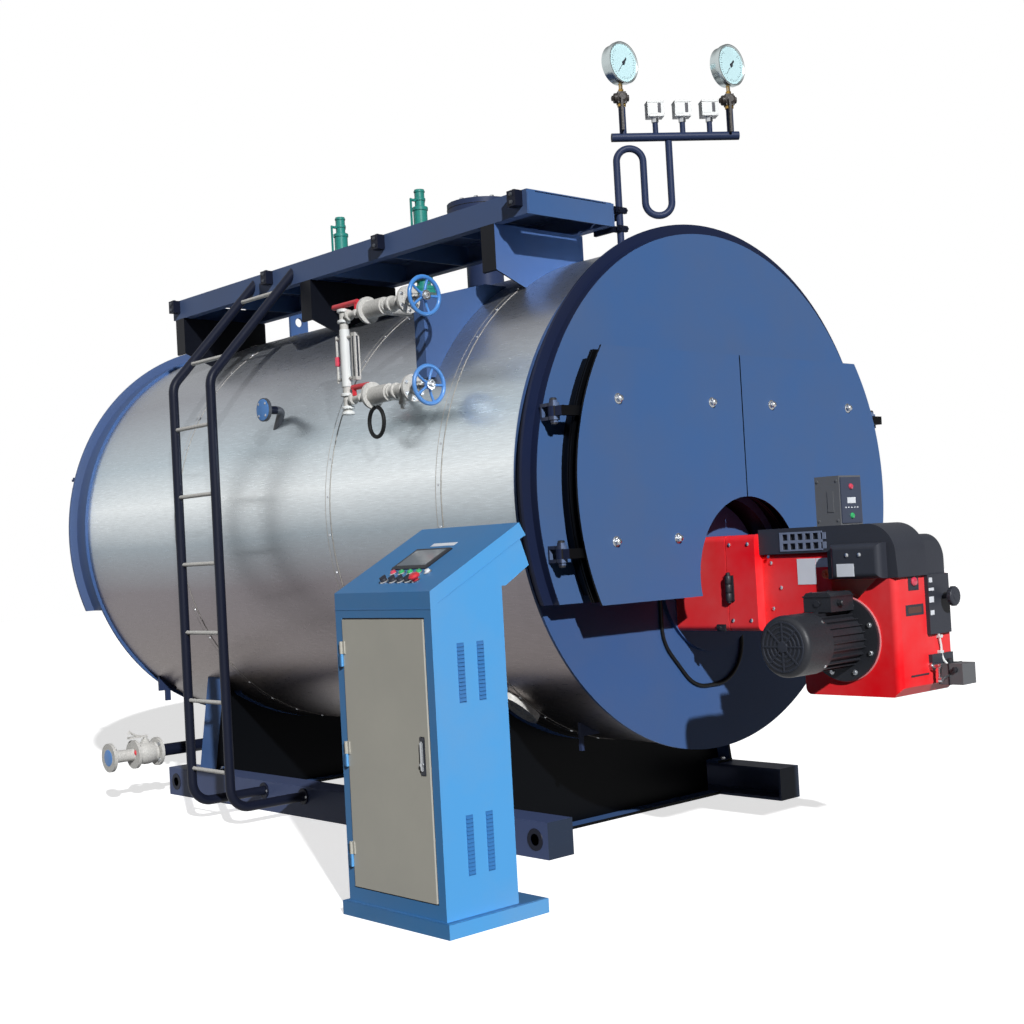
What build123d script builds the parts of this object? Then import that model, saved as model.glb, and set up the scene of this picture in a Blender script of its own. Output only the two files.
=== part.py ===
from build123d import *
import math
import os

# Horizontal three-pass fire-tube steam boiler with its burner and operator cabinet.
# Millimetres, Z up. X runs to the right when one faces the burner, Y from the burner to the rear.
# Pieces are drawn with Y from the face of the front end plate. They are moved at the end,
# so that the origin is on the ground, at the middle of the front saddle's underside.

# Drum and its clad shell
axis_height = 1330
clad_radius = 988
clad_wall = 20
clad_length = 3306
end_plate_radius = 1003
end_plate_thick = 12
seam_front = 430                  # circumferential joints of the sheets, from the front end plate
seam_middle = 1140
seam_rear = 2370
seam_width = 26
seam_rise = 1.6
seat_gap = 0.3                    # between a piece and the curved surface that it sits on
overrun = 50                      # how far a cutting tool runs past what it cuts

# Smoke boxes: upper segments that stand proud of both end plates
smoke_box_radius = 1000
smoke_box_wall = 8
chord_drop = 385                  # flat underside, below the axis
front_box_depth = 100
rear_box_depth = 130
rim_radius = 1040
rim_thick = 12
rim_set_back = 30

# Two-leaf doors of the front smoke box, on a raised frame
door_radius = 915
door_rise = 512                   # straight upper edge, above the axis
door_drop = 395                   # straight lower edge, below the axis
door_gap = 6                      # between the leaves, at the middle
frame_depth = 53
frame_inset = 35
frame_wall = 25
lip_thick = 6
lip_inset = 10
leaf_gap = 5                      # between the frame's lip and the leaf's
leaf_core = 36
leaf_skin = 8
burner_hole_radius = 302
hinge_axis_x = 948
hinge_axis_out = 52               # ahead of the smoke box front
hinge_drop = 210                  # lower hinge, below the axis
hinge_rise = 280                  # upper hinge, above the axis
hinge_pin_radius = 9
hinge_head_radius = 14
hinge_head_height = 9
hinge_knuckle_radius = 20
hinge_arm_height = 34
hinge_arm_thick = 20
hinge_arm_setback = 38            # from the pin to the middle of the arm
hinge_fork_thick = 12
hinge_fork_width = 30
hinge_gap = 0.5
stud_drop = 177
stud_rise = 325
stud_inner_low = 415
stud_outer_low = 740
stud_inner_high = 180
stud_outer_high = 690
stud_radius = 9
stud_length = 14

# Furnace mouth and burner. Depths run ahead of the smoke box front, heights from the burner's axis.
burner_drop = 333                 # burner axis, below the drum's axis
mouth_radius = 250
mount_plate_radius = 292
mount_plate_thick = 16
housing_width = 440
housing_rise = 155
housing_drop = 197
housing_split = 168
housing_groove = 4
housing_front = 304
housing_round = 22
body_width = 356
body_rise = 79
body_drop = 185
body_front = 600
body_round = 12
scroll_left = 190
scroll_right = 145
scroll_rise = -16
scroll_drop = 420
scroll_front = 866
scroll_back = 476
scroll_shoulder = 795             # where the sloping upper edge starts
scroll_round = 24
scroll_bevel = 30                 # along the front lower edge
motor_setback = 650
motor_drop = 222
motor_flange_radius = 145
motor_flange_thick = 16
motor_radius = 90
motor_length = 222
motor_fin_count = 24
motor_fin_height = 10
motor_fin_thick = 4
cowl_length = 140
cowl_cover = 30                   # how far the cowl reaches over the fins
cowl_rounding = 20
cowl_wall = 3
terminal_length = 130
terminal_width = 112
terminal_height = 66
cover_left = 192                  # left side of the tall part of the cover
cover_right = -10
cover_rise = 170
cover_front = 880
cover_slope = 12                  # how far its front leans back
cover_round = 108
hump_right = 135                  # right side of the lower part of the cover
hump_front = 866
hump_rise = 125
hump_round = 92
hump_edge = 24
grille_rows = 2
grille_columns = 6
grille_hole = 22
grille_pitch = 33
grille_inset = 120                # first hole, from the cover's back
grille_lift = 25                  # lower row, above the burner body
grille_depth = 9
switch_box_width = 48
switch_box_length = 200
switch_box_height = 120
switch_box_back = 640
switch_box_round = 20
control_width = 135
control_depth = 104
control_height = 178
control_middle = 8
control_setback = 521
tail_left = -15
tail_right = 118
tail_depth = 14
tail_height = 205
tail_foot_height = 34
tail_foot_drop = 324              # its lower edge, below the burner's axis
actuator_left = 40
actuator_width = 84
actuator_depth = 93
actuator_height = 72
actuator_lift = 23
knob_radius = 33
knob_thick = 20
knob_stem_radius = 9
knob_stem_length = 30
knob_x = 77
knob_drop = 95
knob_round = 6
cable_radius = 7
cable_start_x = 300
cable_knee_drop = 570             # lower left bend, below the drum's axis
cable_low_drop = 754
cable_turn_x = 130
cable_end_x = 170
cable_bend = 165

# Skid base
skid_half_span = 758
skid_width = 129
skid_height = 137
skid_web = 10
skid_flange = 12
skid_front_overhang = 417         # past the front saddle's middle
skid_rear_overhang = 332          # past the rear saddle's middle
pull_hole_radius = 22
pull_hole_inset = 70
front_overhang = 615              # from the front end plate to the front saddle's middle
saddle_pitch = 2040
saddle_depth = 150
saddle_web = 14
saddle_flange = 12
saddle_foot_half = 728            # half width over the legs, on top of the skids
saddle_top_half = 620
saddle_pad_thick = 10
saddle_pad_half = 560

# Walkway above the drum, to the left of the middle
walk_left = -684
walk_width = 472
walk_rise = 172                   # top edge of its channels, above the drum
walk_start = 200
walk_length = 2650
channel_depth = 91
channel_flange = 44
channel_web = 6
deck_thick = 4
cross_bar_pitch = 440
post_width = 480
post_depth = 80
post_wall = 8
post_inset_front = 190
post_inset_rear = 20
post_middle_share = 0.54
post_corner_width = 150
post_corner_height = 60
clip_length = 46
clip_thick = 38
clip_height = 60
clip_inset = 24
clip_pairs = 4

# Ladder
rail_radius = 21
rail_x = -1130
rail_front = 1780
rail_rear = 2100
rail_foot_height = 95
rail_bend = 90
rail_lean_drop = 530              # where the rails start to lean, below the walkway's top
rung_radius = 9
rung_pitch = 302
rung_first = 250

# Pressure gauge tree: a siphon pipe, a header and what stands on it
tree_x = -190
tree_y = 192
tree_angle = -34.8
pipe_radius = 14
siphon_rise = 392                 # top of its first bend, above the drum
siphon_dip = 270                  # depth of its loop
siphon_pitch = 108
siphon_bend_share = 0.49
header_rise = 45                  # above the siphon's first bend
header_radius = 17
header_overhang_left = 48         # past the left riser
header_overhang_right = 32
riser_left = 34
riser_right = 474
riser_height_left = 135
riser_height_right = 120
gauge_radius = 80
gauge_depth = 42
gauge_bezel_radius = 84
gauge_bezel_depth = 14
gauge_stem_length = 34            # between the cock and the case
cock_width = 34
cock_height = 46
cock_lever_length = 112
cock_lever_width = 9
switch_left = 166
switch_middle = 277
switch_right = 388
switch_width = 66
switch_depth = 50
switch_height = 62
switch_stem = 60
switch_boss_radius = 11
switch_boss_height = 42

# Water level gauge on the left side of the drum. Depths run from the front end plate.
gauge_stand_off = 42                # from the clad shell to the gauge's line
gauge_line_x = -(clad_radius + gauge_stand_off)
wheel_y = 412
lower_cock_rise = 437             # above the drum's axis
upper_cock_rise = 767
wheel_radius = 78
wheel_rim_radius = 8
wheel_rim_round = 7
wheel_spokes = 5
wheel_spoke_radius = 4
wheel_hub_radius = 17
wheel_hub_length = 24
spindle_radius = 7
spindle_gap = 0.3
bonnet_y = 490
bonnet_radius = 24
valve_body_radius = 34
valve_flange_radius = 52
valve_flange_thick = 12
standpipe_y = 700
standpipe_radius = 24
link_radius = 12
column_y = 920
column_radius = 17
column_head = 31                  # past the upper and below the lower cock
column_foot = 51
sight_y = 852
sight_half = 12
sight_margin = 72
sight_arm_radius = 6
scale_rod_y = 975
scale_rod_radius = 5
lever_stem_radius = 9
lever_rise = 28
lever_thick = 8
upper_lever_y = 832
upper_lever_reach = 150
lower_lever_y = 874
lower_lever_reach = -96
chest_front = 580
chest_depth = 60
chest_set_in = 88                  # inside the clad shell's widest place
chest_left = -(clad_radius - chest_set_in)
chest_foot_rise = 492             # above the drum's axis
chest_top_rise = 875
chest_corner_width = 320
chest_corner_height = 80

# Nozzles and valves on the drum
nozzle_y = 1557
nozzle_rise = 468                 # above the drum's axis
nozzle_stand_off = 12              # from the clad shell's widest place to the flange
nozzle_reach = clad_radius + nozzle_stand_off
nozzle_knee_in = 70
nozzle_knee_reach = clad_radius - nozzle_knee_in   # where its pipe turns down and to the rear
nozzle_knee_back = 120
nozzle_knee_drop = 105
nozzle_knee_slant = 38
nozzle_bend = 30
nozzle_radius = 17
nozzle_flange_radius = 50
nozzle_flange_thick = 14
blow_y = 2900
blow_drop = 104                   # below the drum
blow_reach = 1130
blow_valve_x = -930
blow_pipe_radius = 30
blow_bend = 48
blow_flange_radius = 70
blow_flange_thick = 16
blow_body_radius = 49
blow_stem_radius = 11
blow_stem_rise = 78               # top of the stem, above the pipe's middle
blow_lever_length = 90
blow_lever_thick = 9
safety_front = 1666
safety_rear = 2318
safety_rise = 578
safety_neck = 90
safety_stem_radius = 24
safety_body_radius = 34
safety_cap_height = 90
safety_flange_radius = 62
safety_flange_thick = 16
steam_y = 1220
steam_rise = 412
steam_pipe_radius = 84
steam_flange_radius = 160
steam_flange_thick = 24
lug_front = 820
lug_rear = 2740
lug_width = 110
lug_height = 180
lug_thick = 16
lug_hole_radius = 24
lug_hole_share = 0.55
hand_hole_y = 484
hand_hole_angle = 36.8            # from straight down, towards the left
hand_hole_radius = 98             # half its length, around the drum
hand_hole_share = 0.53
hand_hole_ring = 14
hand_hole_height = 26
bracket_left_x = -596
bracket_rear_inset = 40
bracket_front_y = 277
bracket_front_x = -431
bracket_width = 100
bracket_plate = 14
bracket_height = 110

# Operator cabinet, which stands by itself
cabinet_right = -1385
cabinet_depth = 290
cabinet_width = 490
cabinet_ahead = 80                # its middle, ahead of the front end plate
cabinet_wall = 4
plinth_height = 45
plinth_margin = 24
plinth_back = 105
cabinet_front_height = 982        # where the console starts, above the ground
console_lip = 52
console_slope_rise = 196
console_slope_run = 378
console_nose = 26
console_nose_drop = 41
console_back_height = 1094
console_back_run = 121
cabinet_neck_height = 1034
cabinet_neck_run = 17
door_edge = 34
door_foot = 92
door_head = 955
panel_gap = 5
panel_thick = 18
panel_proud = 4
cabinet_hinge_radius = 6
cabinet_pin_radius = 3
cabinet_hinge_out = 8             # pin ahead of the cabinet's door side
cabinet_hinge_length = 40
cabinet_hinge_plate = 16
cabinet_hinge_low = 200
cabinet_hinge_middle = 520
cabinet_hinge_high = 840
screen_width = 176
screen_depth = 128
screen_thick = 8
screen_along = 205                # its middle, up the slope from the door side
screen_across = 10

# Stations worked out from the sizes above
front_y = 0
rear_y = clad_length
box_front = -front_box_depth
burner_height = axis_height - burner_drop
drum_top = axis_height + clad_radius
drum_bottom = axis_height - clad_radius
chord_height = axis_height - chord_drop
leaf_back = box_front - frame_depth - lip_thick - leaf_gap
leaf_front = leaf_back - lip_thick - leaf_core - leaf_skin
hinge_y = box_front - hinge_axis_out
hinge_heights = (axis_height - hinge_drop, axis_height + hinge_rise)
walk_right = walk_left + walk_width
walk_end = walk_start + walk_length
walk_top = drum_top + walk_rise
skid_start = front_overhang - skid_front_overhang
skid_end = front_overhang + saddle_pitch + skid_rear_overhang
body_top = burner_height + body_rise
body_bottom = burner_height - body_drop
scroll_top = burner_height + scroll_rise
scroll_bottom = burner_height - scroll_drop
cover_top = burner_height + cover_rise
motor_y = box_front - motor_setback
motor_height = burner_height - motor_drop
motor_face = -scroll_left
motor_end = motor_face - motor_flange_thick - motor_length
motor_reach = motor_radius + motor_fin_height
cowl_radius = motor_reach + seat_gap + cowl_wall
siphon_top = drum_top + siphon_rise
siphon_low = siphon_top - siphon_dip
header_height = siphon_top + header_rise
riser_tops = {riser_left: header_height + riser_height_left, riser_right: header_height + riser_height_right}
lower_cock = axis_height + lower_cock_rise
upper_cock = axis_height + upper_cock_rise
cabinet_left = cabinet_right - cabinet_depth
cabinet_front = front_y - cabinet_ahead - cabinet_width / 2
cabinet_back = cabinet_front + cabinet_width
console_angle = math.degrees(math.atan2(console_slope_rise, console_slope_run))


def block(x0, x1, y0, y1, z0, z1):
    size = (x1 - x0, y1 - y0, z1 - z0)
    return Pos((x0 + x1) / 2, (y0 + y1) / 2, (z0 + z1) / 2) * Box(*size)


def rod_x(radius, x0, x1, y, z):
    return Pos((x0 + x1) / 2, y, z) * Rot(0, 90, 0) * Cylinder(radius, x1 - x0)


def rod_y(radius, y0, y1, x=0, z=axis_height):
    return Pos(x, (y0 + y1) / 2, z) * Rot(90, 0, 0) * Cylinder(radius, y1 - y0)


def rod_z(radius, z0, z1, x, y):
    return Pos(x, y, (z0 + z1) / 2) * Cylinder(radius, z1 - z0)


def pipe_run(radius, points, bend):
    route = FilletPolyline(*points, radius=bend)
    return sweep(Plane(origin=route @ 0, z_dir=route % 0) * Circle(radius), path=route)


def across_profile(points, y0, y1):
    """A profile drawn in X and Z, as a prism from y0 to y1."""
    return Pos(0, y1, 0) * extrude(Plane.XZ * make_face(Polyline(*points, close=True)), y1 - y0)


def side_profile(points, x0, x1):
    """A profile drawn in Y and Z, as a prism from x0 to x1."""
    return Pos(x0, 0, 0) * extrude(Plane.YZ * make_face(Polyline(*points, close=True)), x1 - x0)


def ahead(distance):
    """Y of what lies this far ahead of the smoke box front."""
    return box_front - distance


def drum_height(x):
    """Height of the clad drum's upper surface at x."""
    return axis_height + math.sqrt(clad_radius**2 - x**2)


def clad_room():
    """The clad drum with its seams, and the small gap at which pieces sit on it."""
    room = rod_y(clad_radius + seat_gap, front_y, rear_y)
    for station in (seam_front, seam_middle, seam_rear):
        room += rod_y(clad_radius + seam_rise + seat_gap, station - seat_gap, station + seam_width + seat_gap)
    return room


def seated(solid):
    """What stands on the clad drum, cut to its surface."""
    return solid - clad_room()


def seated_below(solid):
    """What hangs under the clad drum: the part below it, cut to its surface."""
    reach = clad_radius + overrun
    return seated(solid) & block(-reach - clad_radius, reach, front_y, rear_y, 0, drum_bottom + overrun)


# Drum, end plates and smoke boxes
def above_chord(solid, chord):
    side = rim_radius + overrun
    return solid & block(-side, side, box_front - overrun, rear_y + rear_box_depth + overrun, chord,
                         axis_height + side)


def clad_shell():
    shell = rod_y(clad_radius, front_y + end_plate_thick, rear_y - end_plate_thick)
    for station in (seam_front, seam_middle, seam_rear):
        shell += rod_y(clad_radius + seam_rise, station, station + seam_width)
    return shell - rod_y(clad_radius - clad_wall, front_y - overrun, rear_y + overrun)


def front_plate():
    plate = rod_y(end_plate_radius, front_y, front_y + end_plate_thick)
    return plate - rod_y(mouth_radius, front_y - overrun, rear_y, 0, burner_height)


def rear_plate():
    return rod_y(end_plate_radius, rear_y - end_plate_thick, rear_y)


def door_outline(inset, y0, y1):
    """The pair of doors seen from the front, drawn in by inset, as a slab from y0 to y1."""
    slab = rod_y(door_radius - inset, y0, y1)
    slab &= block(-door_radius, door_radius, y0 - overrun, y1 + overrun,
                  axis_height - door_drop + inset, axis_height + door_rise - inset)
    return slab - rod_y(burner_hole_radius + inset, y0 - overrun, y1 + overrun, 0, burner_height)


def front_smoke_box():
    drum = rod_y(smoke_box_radius, box_front, front_y)
    drum += rod_y(rim_radius, box_front + rim_set_back, box_front + rim_set_back + rim_thick)
    box = above_chord(drum, chord_height)
    inside = rod_y(smoke_box_radius - smoke_box_wall, box_front + smoke_box_wall, front_y + overrun)
    inside -= rod_y(burner_hole_radius + smoke_box_wall, box_front, front_y + overrun, 0, burner_height)
    box -= above_chord(inside, chord_height + smoke_box_wall)
    lip_front = box_front - frame_depth - lip_thick
    box += door_outline(frame_inset, box_front - frame_depth, box_front)
    box += door_outline(lip_inset, lip_front, box_front - frame_depth)
    box -= door_outline(frame_inset + frame_wall, lip_front - overrun, box_front + smoke_box_wall)
    return box - rod_y(burner_hole_radius, lip_front - overrun, front_y + overrun, 0, burner_height)


def rear_smoke_box():
    back = rear_y + rear_box_depth
    drum = rod_y(smoke_box_radius, rear_y, back)
    drum += rod_y(rim_radius, back - rim_set_back - rim_thick, back - rim_set_back)
    return above_chord(drum, chord_height)


def door_leaf(side):
    back = leaf_back - lip_thick
    leaf = door_outline(lip_inset, back, leaf_back)
    leaf += door_outline(frame_inset, back - leaf_core, back)
    leaf += door_outline(0, leaf_front, leaf_front + leaf_skin)
    inner, outer = sorted((side * door_gap / 2, side * door_radius))
    leaf &= block(inner, outer, leaf_front - overrun, leaf_back + overrun, 0, drum_top)
    for x in (stud_inner_low, stud_outer_low):
        leaf += rod_y(stud_radius, leaf_front - stud_length, leaf_front, side * x, axis_height - stud_drop)
    for x in (stud_inner_high, stud_outer_high):
        leaf += rod_y(stud_radius, leaf_front - stud_length, leaf_front, side * x, axis_height + stud_rise)
    for height in hinge_heights:
        leaf += hinge_arm(side, height)
        leaf -= rod_z(hinge_pin_radius + hinge_gap, height - overrun, height + overrun,
                      side * hinge_axis_x, hinge_y)
    return leaf


def hinge_arm(side, height):
    low, high = height - hinge_arm_height / 2, height + hinge_arm_height / 2
    core_radius = door_radius - frame_inset
    core_x = math.sqrt(core_radius**2 - (height + hinge_arm_height / 2 - axis_height) ** 2)
    y = hinge_y - hinge_arm_setback
    half = hinge_arm_thick / 2
    arm = rod_z(hinge_knuckle_radius, low, high, side * hinge_axis_x, hinge_y)
    x0, x1 = sorted((side * (core_x - frame_wall), side * (hinge_axis_x + half)))
    arm += block(x0, x1, y - half, y + half, low, high)
    x0, x1 = sorted((side * (hinge_axis_x - half), side * (hinge_axis_x + half)))
    return arm + block(x0, x1, y, hinge_y, low, high)


def hinge_fork(side, height, face_y, pin_y):
    """Fixed half of a hinge: two plates over and under the arm, a back plate and the pin."""
    arm_low, arm_high = height - hinge_arm_height / 2 - hinge_gap, height + hinge_arm_height / 2 + hinge_gap
    low, high = arm_low - hinge_fork_thick, arm_high + hinge_fork_thick
    x = side * hinge_axis_x
    half = hinge_fork_width / 2
    y0, y1 = sorted((face_y, pin_y))
    fork = Part() + rod_z(hinge_pin_radius, low - hinge_head_height, high + hinge_head_height, x, pin_y)
    for z0, z1 in ((low, arm_low), (arm_high, high)):
        fork += rod_z(hinge_knuckle_radius, z0, z1, x, pin_y)
        fork += block(x - half, x + half, y0, y1, z0, z1)
    y0, y1 = sorted((face_y, face_y + (pin_y - face_y) * smoke_box_wall / hinge_axis_out))
    fork += block(x - half, x + half, y0, y1, low, high)
    fork += rod_z(hinge_head_radius, low - hinge_head_height, low, x, pin_y)
    return fork + rod_z(hinge_head_radius, high, high + hinge_head_height, x, pin_y)


def door_hinges():
    return Compound([hinge_fork(side, height, box_front, hinge_y) for side in (-1, 1) for height in hinge_heights])


def rear_clamps():
    back = rear_y + rear_box_depth
    return Compound([hinge_fork(side, height, back, back + hinge_axis_out)
                     for side in (-1, 1) for height in hinge_heights])


# Skid base
def skid_beam(side):
    x0, x1 = sorted((side * skid_half_span, side * (skid_half_span - skid_width)))
    beam = block(x0, x1, skid_start, skid_end, 0, skid_height)
    h0, h1 = sorted((side * (skid_half_span - skid_web), side * (skid_half_span - skid_width - overrun)))
    beam -= block(h0, h1, skid_start + skid_web, skid_end - skid_web, skid_flange, skid_height - skid_flange)
    for y in (skid_start + pull_hole_inset, skid_end - pull_hole_inset):
        beam -= rod_x(pull_hole_radius, x0 - overrun, x1 + overrun, y, skid_height / 2)
    return beam


def saddle(y):
    """Web between the skids, sloping legs on top of them and a curved pad under the drum."""
    inner = skid_half_span - skid_width - seat_gap
    lean = (saddle_foot_half - saddle_top_half) / (axis_height - clad_radius / 2 - skid_height)
    top = axis_height - clad_radius / 2
    thick = saddle_flange
    y0, y1 = y - saddle_depth / 2, y + saddle_depth / 2
    web = across_profile([(-inner, 0), (inner, 0), (inner, skid_height), (saddle_foot_half, skid_height),
                          (saddle_top_half, top), (-saddle_top_half, top), (-saddle_foot_half, skid_height),
                          (-inner, skid_height)], y - saddle_web / 2, y + saddle_web / 2)
    whole = web + block(-inner, inner, y0, y1, 0, thick)
    for side in (-1, 1):
        leg = [(side * saddle_foot_half, skid_height), (side * saddle_top_half, top),
               (side * (saddle_top_half - thick), top), (side * (saddle_foot_half - thick - lean), skid_height)]
        whole += across_profile(leg, y0, y1)
        x0, x1 = sorted((side * inner, side * saddle_foot_half))
        whole += block(x0, x1, y0, y1, skid_height, skid_height + thick)
    pad = rod_y(clad_radius + saddle_pad_thick, y0, y1)
    pad &= block(-saddle_pad_half, saddle_pad_half, y0 - overrun, y1 + overrun, 0, top)
    return (whole + pad) - clad_room()


# Burner
def burner_mount():
    return rod_y(mount_plate_radius, front_y - mount_plate_thick, front_y, 0, burner_height)


def burner_housing():
    half = housing_width / 2
    z0, z1 = burner_height - housing_drop, burner_height + housing_rise
    back, split = front_y - mount_plate_thick, ahead(housing_split)
    casting = block(-half, half, ahead(housing_front), back, z0, z1)
    casting = fillet(casting.edges().filter_by(Axis.Y), housing_round)
    core = block(-half + housing_groove, half - housing_groove, split - housing_groove, split,
                 z0 + housing_groove, z1 - housing_groove)
    core = fillet(core.edges().filter_by(Axis.Y), housing_round - housing_groove)
    groove = block(-half - overrun, half + overrun, split - housing_groove, split, z0 - overrun, z1 + overrun) - core
    return casting - groove


def burner_body():
    half = body_width / 2
    body = block(-half, half, ahead(body_front), ahead(housing_front), body_bottom, body_top)
    return fillet(body.edges().filter_by(Axis.Y), body_round)


def fan_scroll():
    front, back = ahead(scroll_front), ahead(scroll_back)
    scroll = side_profile([(back, scroll_bottom), (front + scroll_bevel, scroll_bottom),
                           (front, scroll_bottom + scroll_bevel), (front, scroll_top),
                           (ahead(scroll_shoulder), scroll_top), (ahead(body_front), body_bottom),
                           (back, body_bottom)], -scroll_left, scroll_right)
    uprights = scroll.edges().filter_by(Axis.Z).group_by(Axis.Y)[0]
    lower_back = scroll.edges().filter_by(Axis.X).group_by(Axis.Z)[0].group_by(Axis.Y)[-1]
    return fillet(uprights + lower_back, scroll_round)


def fan_motor():
    y, z = motor_y, motor_height
    motor = rod_x(motor_flange_radius, motor_face - motor_flange_thick, motor_face, y, z)
    motor += rod_x(motor_radius, motor_end, motor_face, y, z)
    fin = block(motor_end + motor_flange_thick, motor_face - motor_flange_thick,
                -motor_fin_thick / 2, motor_fin_thick / 2, motor_radius - motor_fin_thick, motor_reach)
    for k in range(motor_fin_count):
        motor += Pos(0, y, z) * Rot(360 * k / motor_fin_count, 0, 0) * fin
    return motor


def motor_cowl():
    tip = motor_end + cowl_cover - cowl_length
    cowl = rod_x(cowl_radius, tip, motor_end + cowl_cover, motor_y, motor_height)
    cowl = fillet(cowl.edges().group_by(Axis.X)[0], cowl_rounding)
    return cowl - rod_x(cowl_radius - cowl_wall, tip + cowl_rounding, motor_end + overrun, motor_y, motor_height)


def terminal_box():
    z = motor_height + motor_reach + seat_gap
    x1 = motor_face - motor_flange_thick - seat_gap
    half = terminal_width / 2
    box = block(x1 - terminal_length, x1, motor_y - half, motor_y + half, z, z + terminal_height)
    return chamfer(box.edges().filter_by(Axis.X).group_by(Axis.Z)[-1], body_round)


def top_cover():
    """Moulded cover: a tall part with a rolled front, and a lower part on its right."""
    front, back = ahead(cover_front), ahead(housing_front)
    cover = side_profile([(back, body_top), (back, cover_top), (front + cover_slope, cover_top),
                          (front, scroll_top), (ahead(body_front), scroll_top), (ahead(body_front), body_top)],
                         -cover_left, cover_right)
    cover = fillet(cover.edges().filter_by(Axis.X).group_by(Axis.Z)[-1].group_by(Axis.Y)[0], cover_round)
    hump = block(cover_right, hump_right, ahead(hump_front), ahead(body_front), scroll_top,
                 burner_height + hump_rise)
    hump = fillet(hump.edges().filter_by(Axis.Y).group_by(Axis.Z)[-1].group_by(Axis.X)[-1], hump_round)
    hump = fillet(hump.edges().group_by(Axis.Y)[0].group_by(Axis.Z)[-1], hump_edge)
    rear = block(cover_right, hump_right, ahead(body_front), back, body_top, cover_top)
    rear = fillet(rear.edges().filter_by(Axis.Y).group_by(Axis.Z)[-1].group_by(Axis.X)[-1], hump_edge)
    cover += hump + rear
    for row in range(grille_rows):
        for column in range(grille_columns):
            y = back - grille_inset - grille_pitch * column
            z = body_top + grille_lift + grille_pitch * row
            cover -= block(-cover_left - overrun, -cover_left + grille_depth, y - grille_hole / 2,
                           y + grille_hole / 2, z - grille_hole / 2, z + grille_hole / 2)
    return cover


def switch_box():
    x1 = -cover_left
    y1 = ahead(switch_box_back)
    box = block(x1 - switch_box_width, x1, y1 - switch_box_length, y1, scroll_top, scroll_top + switch_box_height)
    outer = box.edges().group_by(Axis.X)[0]
    return fillet(outer, switch_box_round)


def control_box():
    half = control_width / 2
    y0, y1 = ahead(control_setback + control_depth / 2), ahead(control_setback - control_depth / 2)
    return block(control_middle - half, control_middle + half, y0, y1, cover_top, cover_top + control_height)


def tail_cover():
    """Strip down the scroll's front, under the lower part of the cover, and a block below it."""
    front, back = ahead(scroll_front) - tail_depth, ahead(scroll_front)
    foot = burner_height - tail_foot_drop
    strip = block(tail_left, tail_right, front, back, scroll_top - tail_height, scroll_top)
    return Compound([strip, block(tail_left, tail_right, front, back, foot, foot + tail_foot_height)])


def air_actuator():
    y1 = ahead(scroll_front)
    z0 = scroll_bottom + actuator_lift
    return block(actuator_left, actuator_left + actuator_width, y1 - actuator_depth, y1, z0, z0 + actuator_height)


def burner_knob():
    y1, z = ahead(scroll_front) - tail_depth, burner_height - knob_drop
    face = y1 - knob_stem_length
    knob = fillet(rod_y(knob_radius, face - knob_thick, face, knob_x, z).edges(), knob_round)
    return knob + rod_y(knob_stem_radius, face, y1, knob_x, z)


def burner_cable():
    """It runs down the front plate from the smoke box and up again to the burner's mount plate."""
    y = front_y - cable_radius
    top = chord_height - seat_gap
    knee, low = axis_height - cable_knee_drop, axis_height - cable_low_drop
    end = burner_height - seat_gap - math.sqrt(mount_plate_radius**2 - (cable_end_x - cable_radius) ** 2)
    points = [(-cable_start_x, y, top), (-cable_start_x, y, knee), (-cable_turn_x, y, low),
              (cable_end_x, y, low), (cable_end_x, y, end)]
    return pipe_run(cable_radius, points, cable_bend)


# Walkway
def walk_channel(x, side, y0, y1):
    z0, z1 = walk_top - channel_depth, walk_top
    web = sorted((x, x + side * channel_web))
    lip = sorted((x, x + side * channel_flange))
    rail = block(*web, y0, y1, z0, z1)
    rail += block(*lip, y0, y1, z0, z0 + channel_web)
    return rail + block(*lip, y0, y1, z1 - channel_web, z1)


def walk_frame():
    frame = walk_channel(walk_left, 1, walk_start, walk_end)
    frame += walk_channel(walk_right, -1, walk_start, walk_end)
    z0, z1 = walk_top - channel_depth, walk_top - channel_web
    count = int(walk_length / cross_bar_pitch)
    for k in range(count + 1):
        y = walk_start + (walk_length - channel_web) * k / count
        frame += block(walk_left, walk_right, y, y + channel_web, z0, z1)
    return frame


def walk_deck():
    return block(walk_left + channel_web, walk_right - channel_web, walk_start + channel_web,
                 walk_end - channel_web, walk_top, walk_top + deck_thick)


def walk_post(y0):
    x0, x1 = walk_left, walk_left + post_width
    y1 = y0 + post_depth
    z1 = walk_top - channel_depth
    low = drum_height(x0 + post_corner_width)
    post = across_profile([(x0, low + post_corner_height), (x0 + post_corner_width, low),
                           (x0 + post_corner_width, axis_height), (x1, axis_height), (x1, z1), (x0, z1)], y0, y1)
    post -= block(x0 + post_wall, x1 - post_wall, y0 + post_wall, y1 + overrun, axis_height - overrun, z1 - post_wall)
    return seated(post)


def walk_posts():
    last = walk_end - post_inset_rear - post_depth
    middle = walk_start + walk_length * post_middle_share
    return Compound([walk_post(y) for y in (walk_start + post_inset_front, middle, last)])


def walk_clips():
    clips = []
    z0 = walk_top - clip_height
    for k in range(clip_pairs):
        y = walk_start + clip_inset + (walk_length - 2 * clip_inset - clip_length) * k / (clip_pairs - 1)
        clips.append(block(walk_left - clip_thick, walk_left, y, y + clip_length, z0, walk_top))
        clips.append(block(walk_right, walk_right + clip_thick, y, y + clip_length, z0, walk_top))
    return Compound(clips)


# Ladder
def lean_x(z):
    """X of the leaning stretch of the rails, at this height."""
    top, foot = walk_top - channel_depth / 2, walk_top - rail_lean_drop
    return rail_x + (walk_left - rail_x) * (z - foot) / (top - foot)


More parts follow.
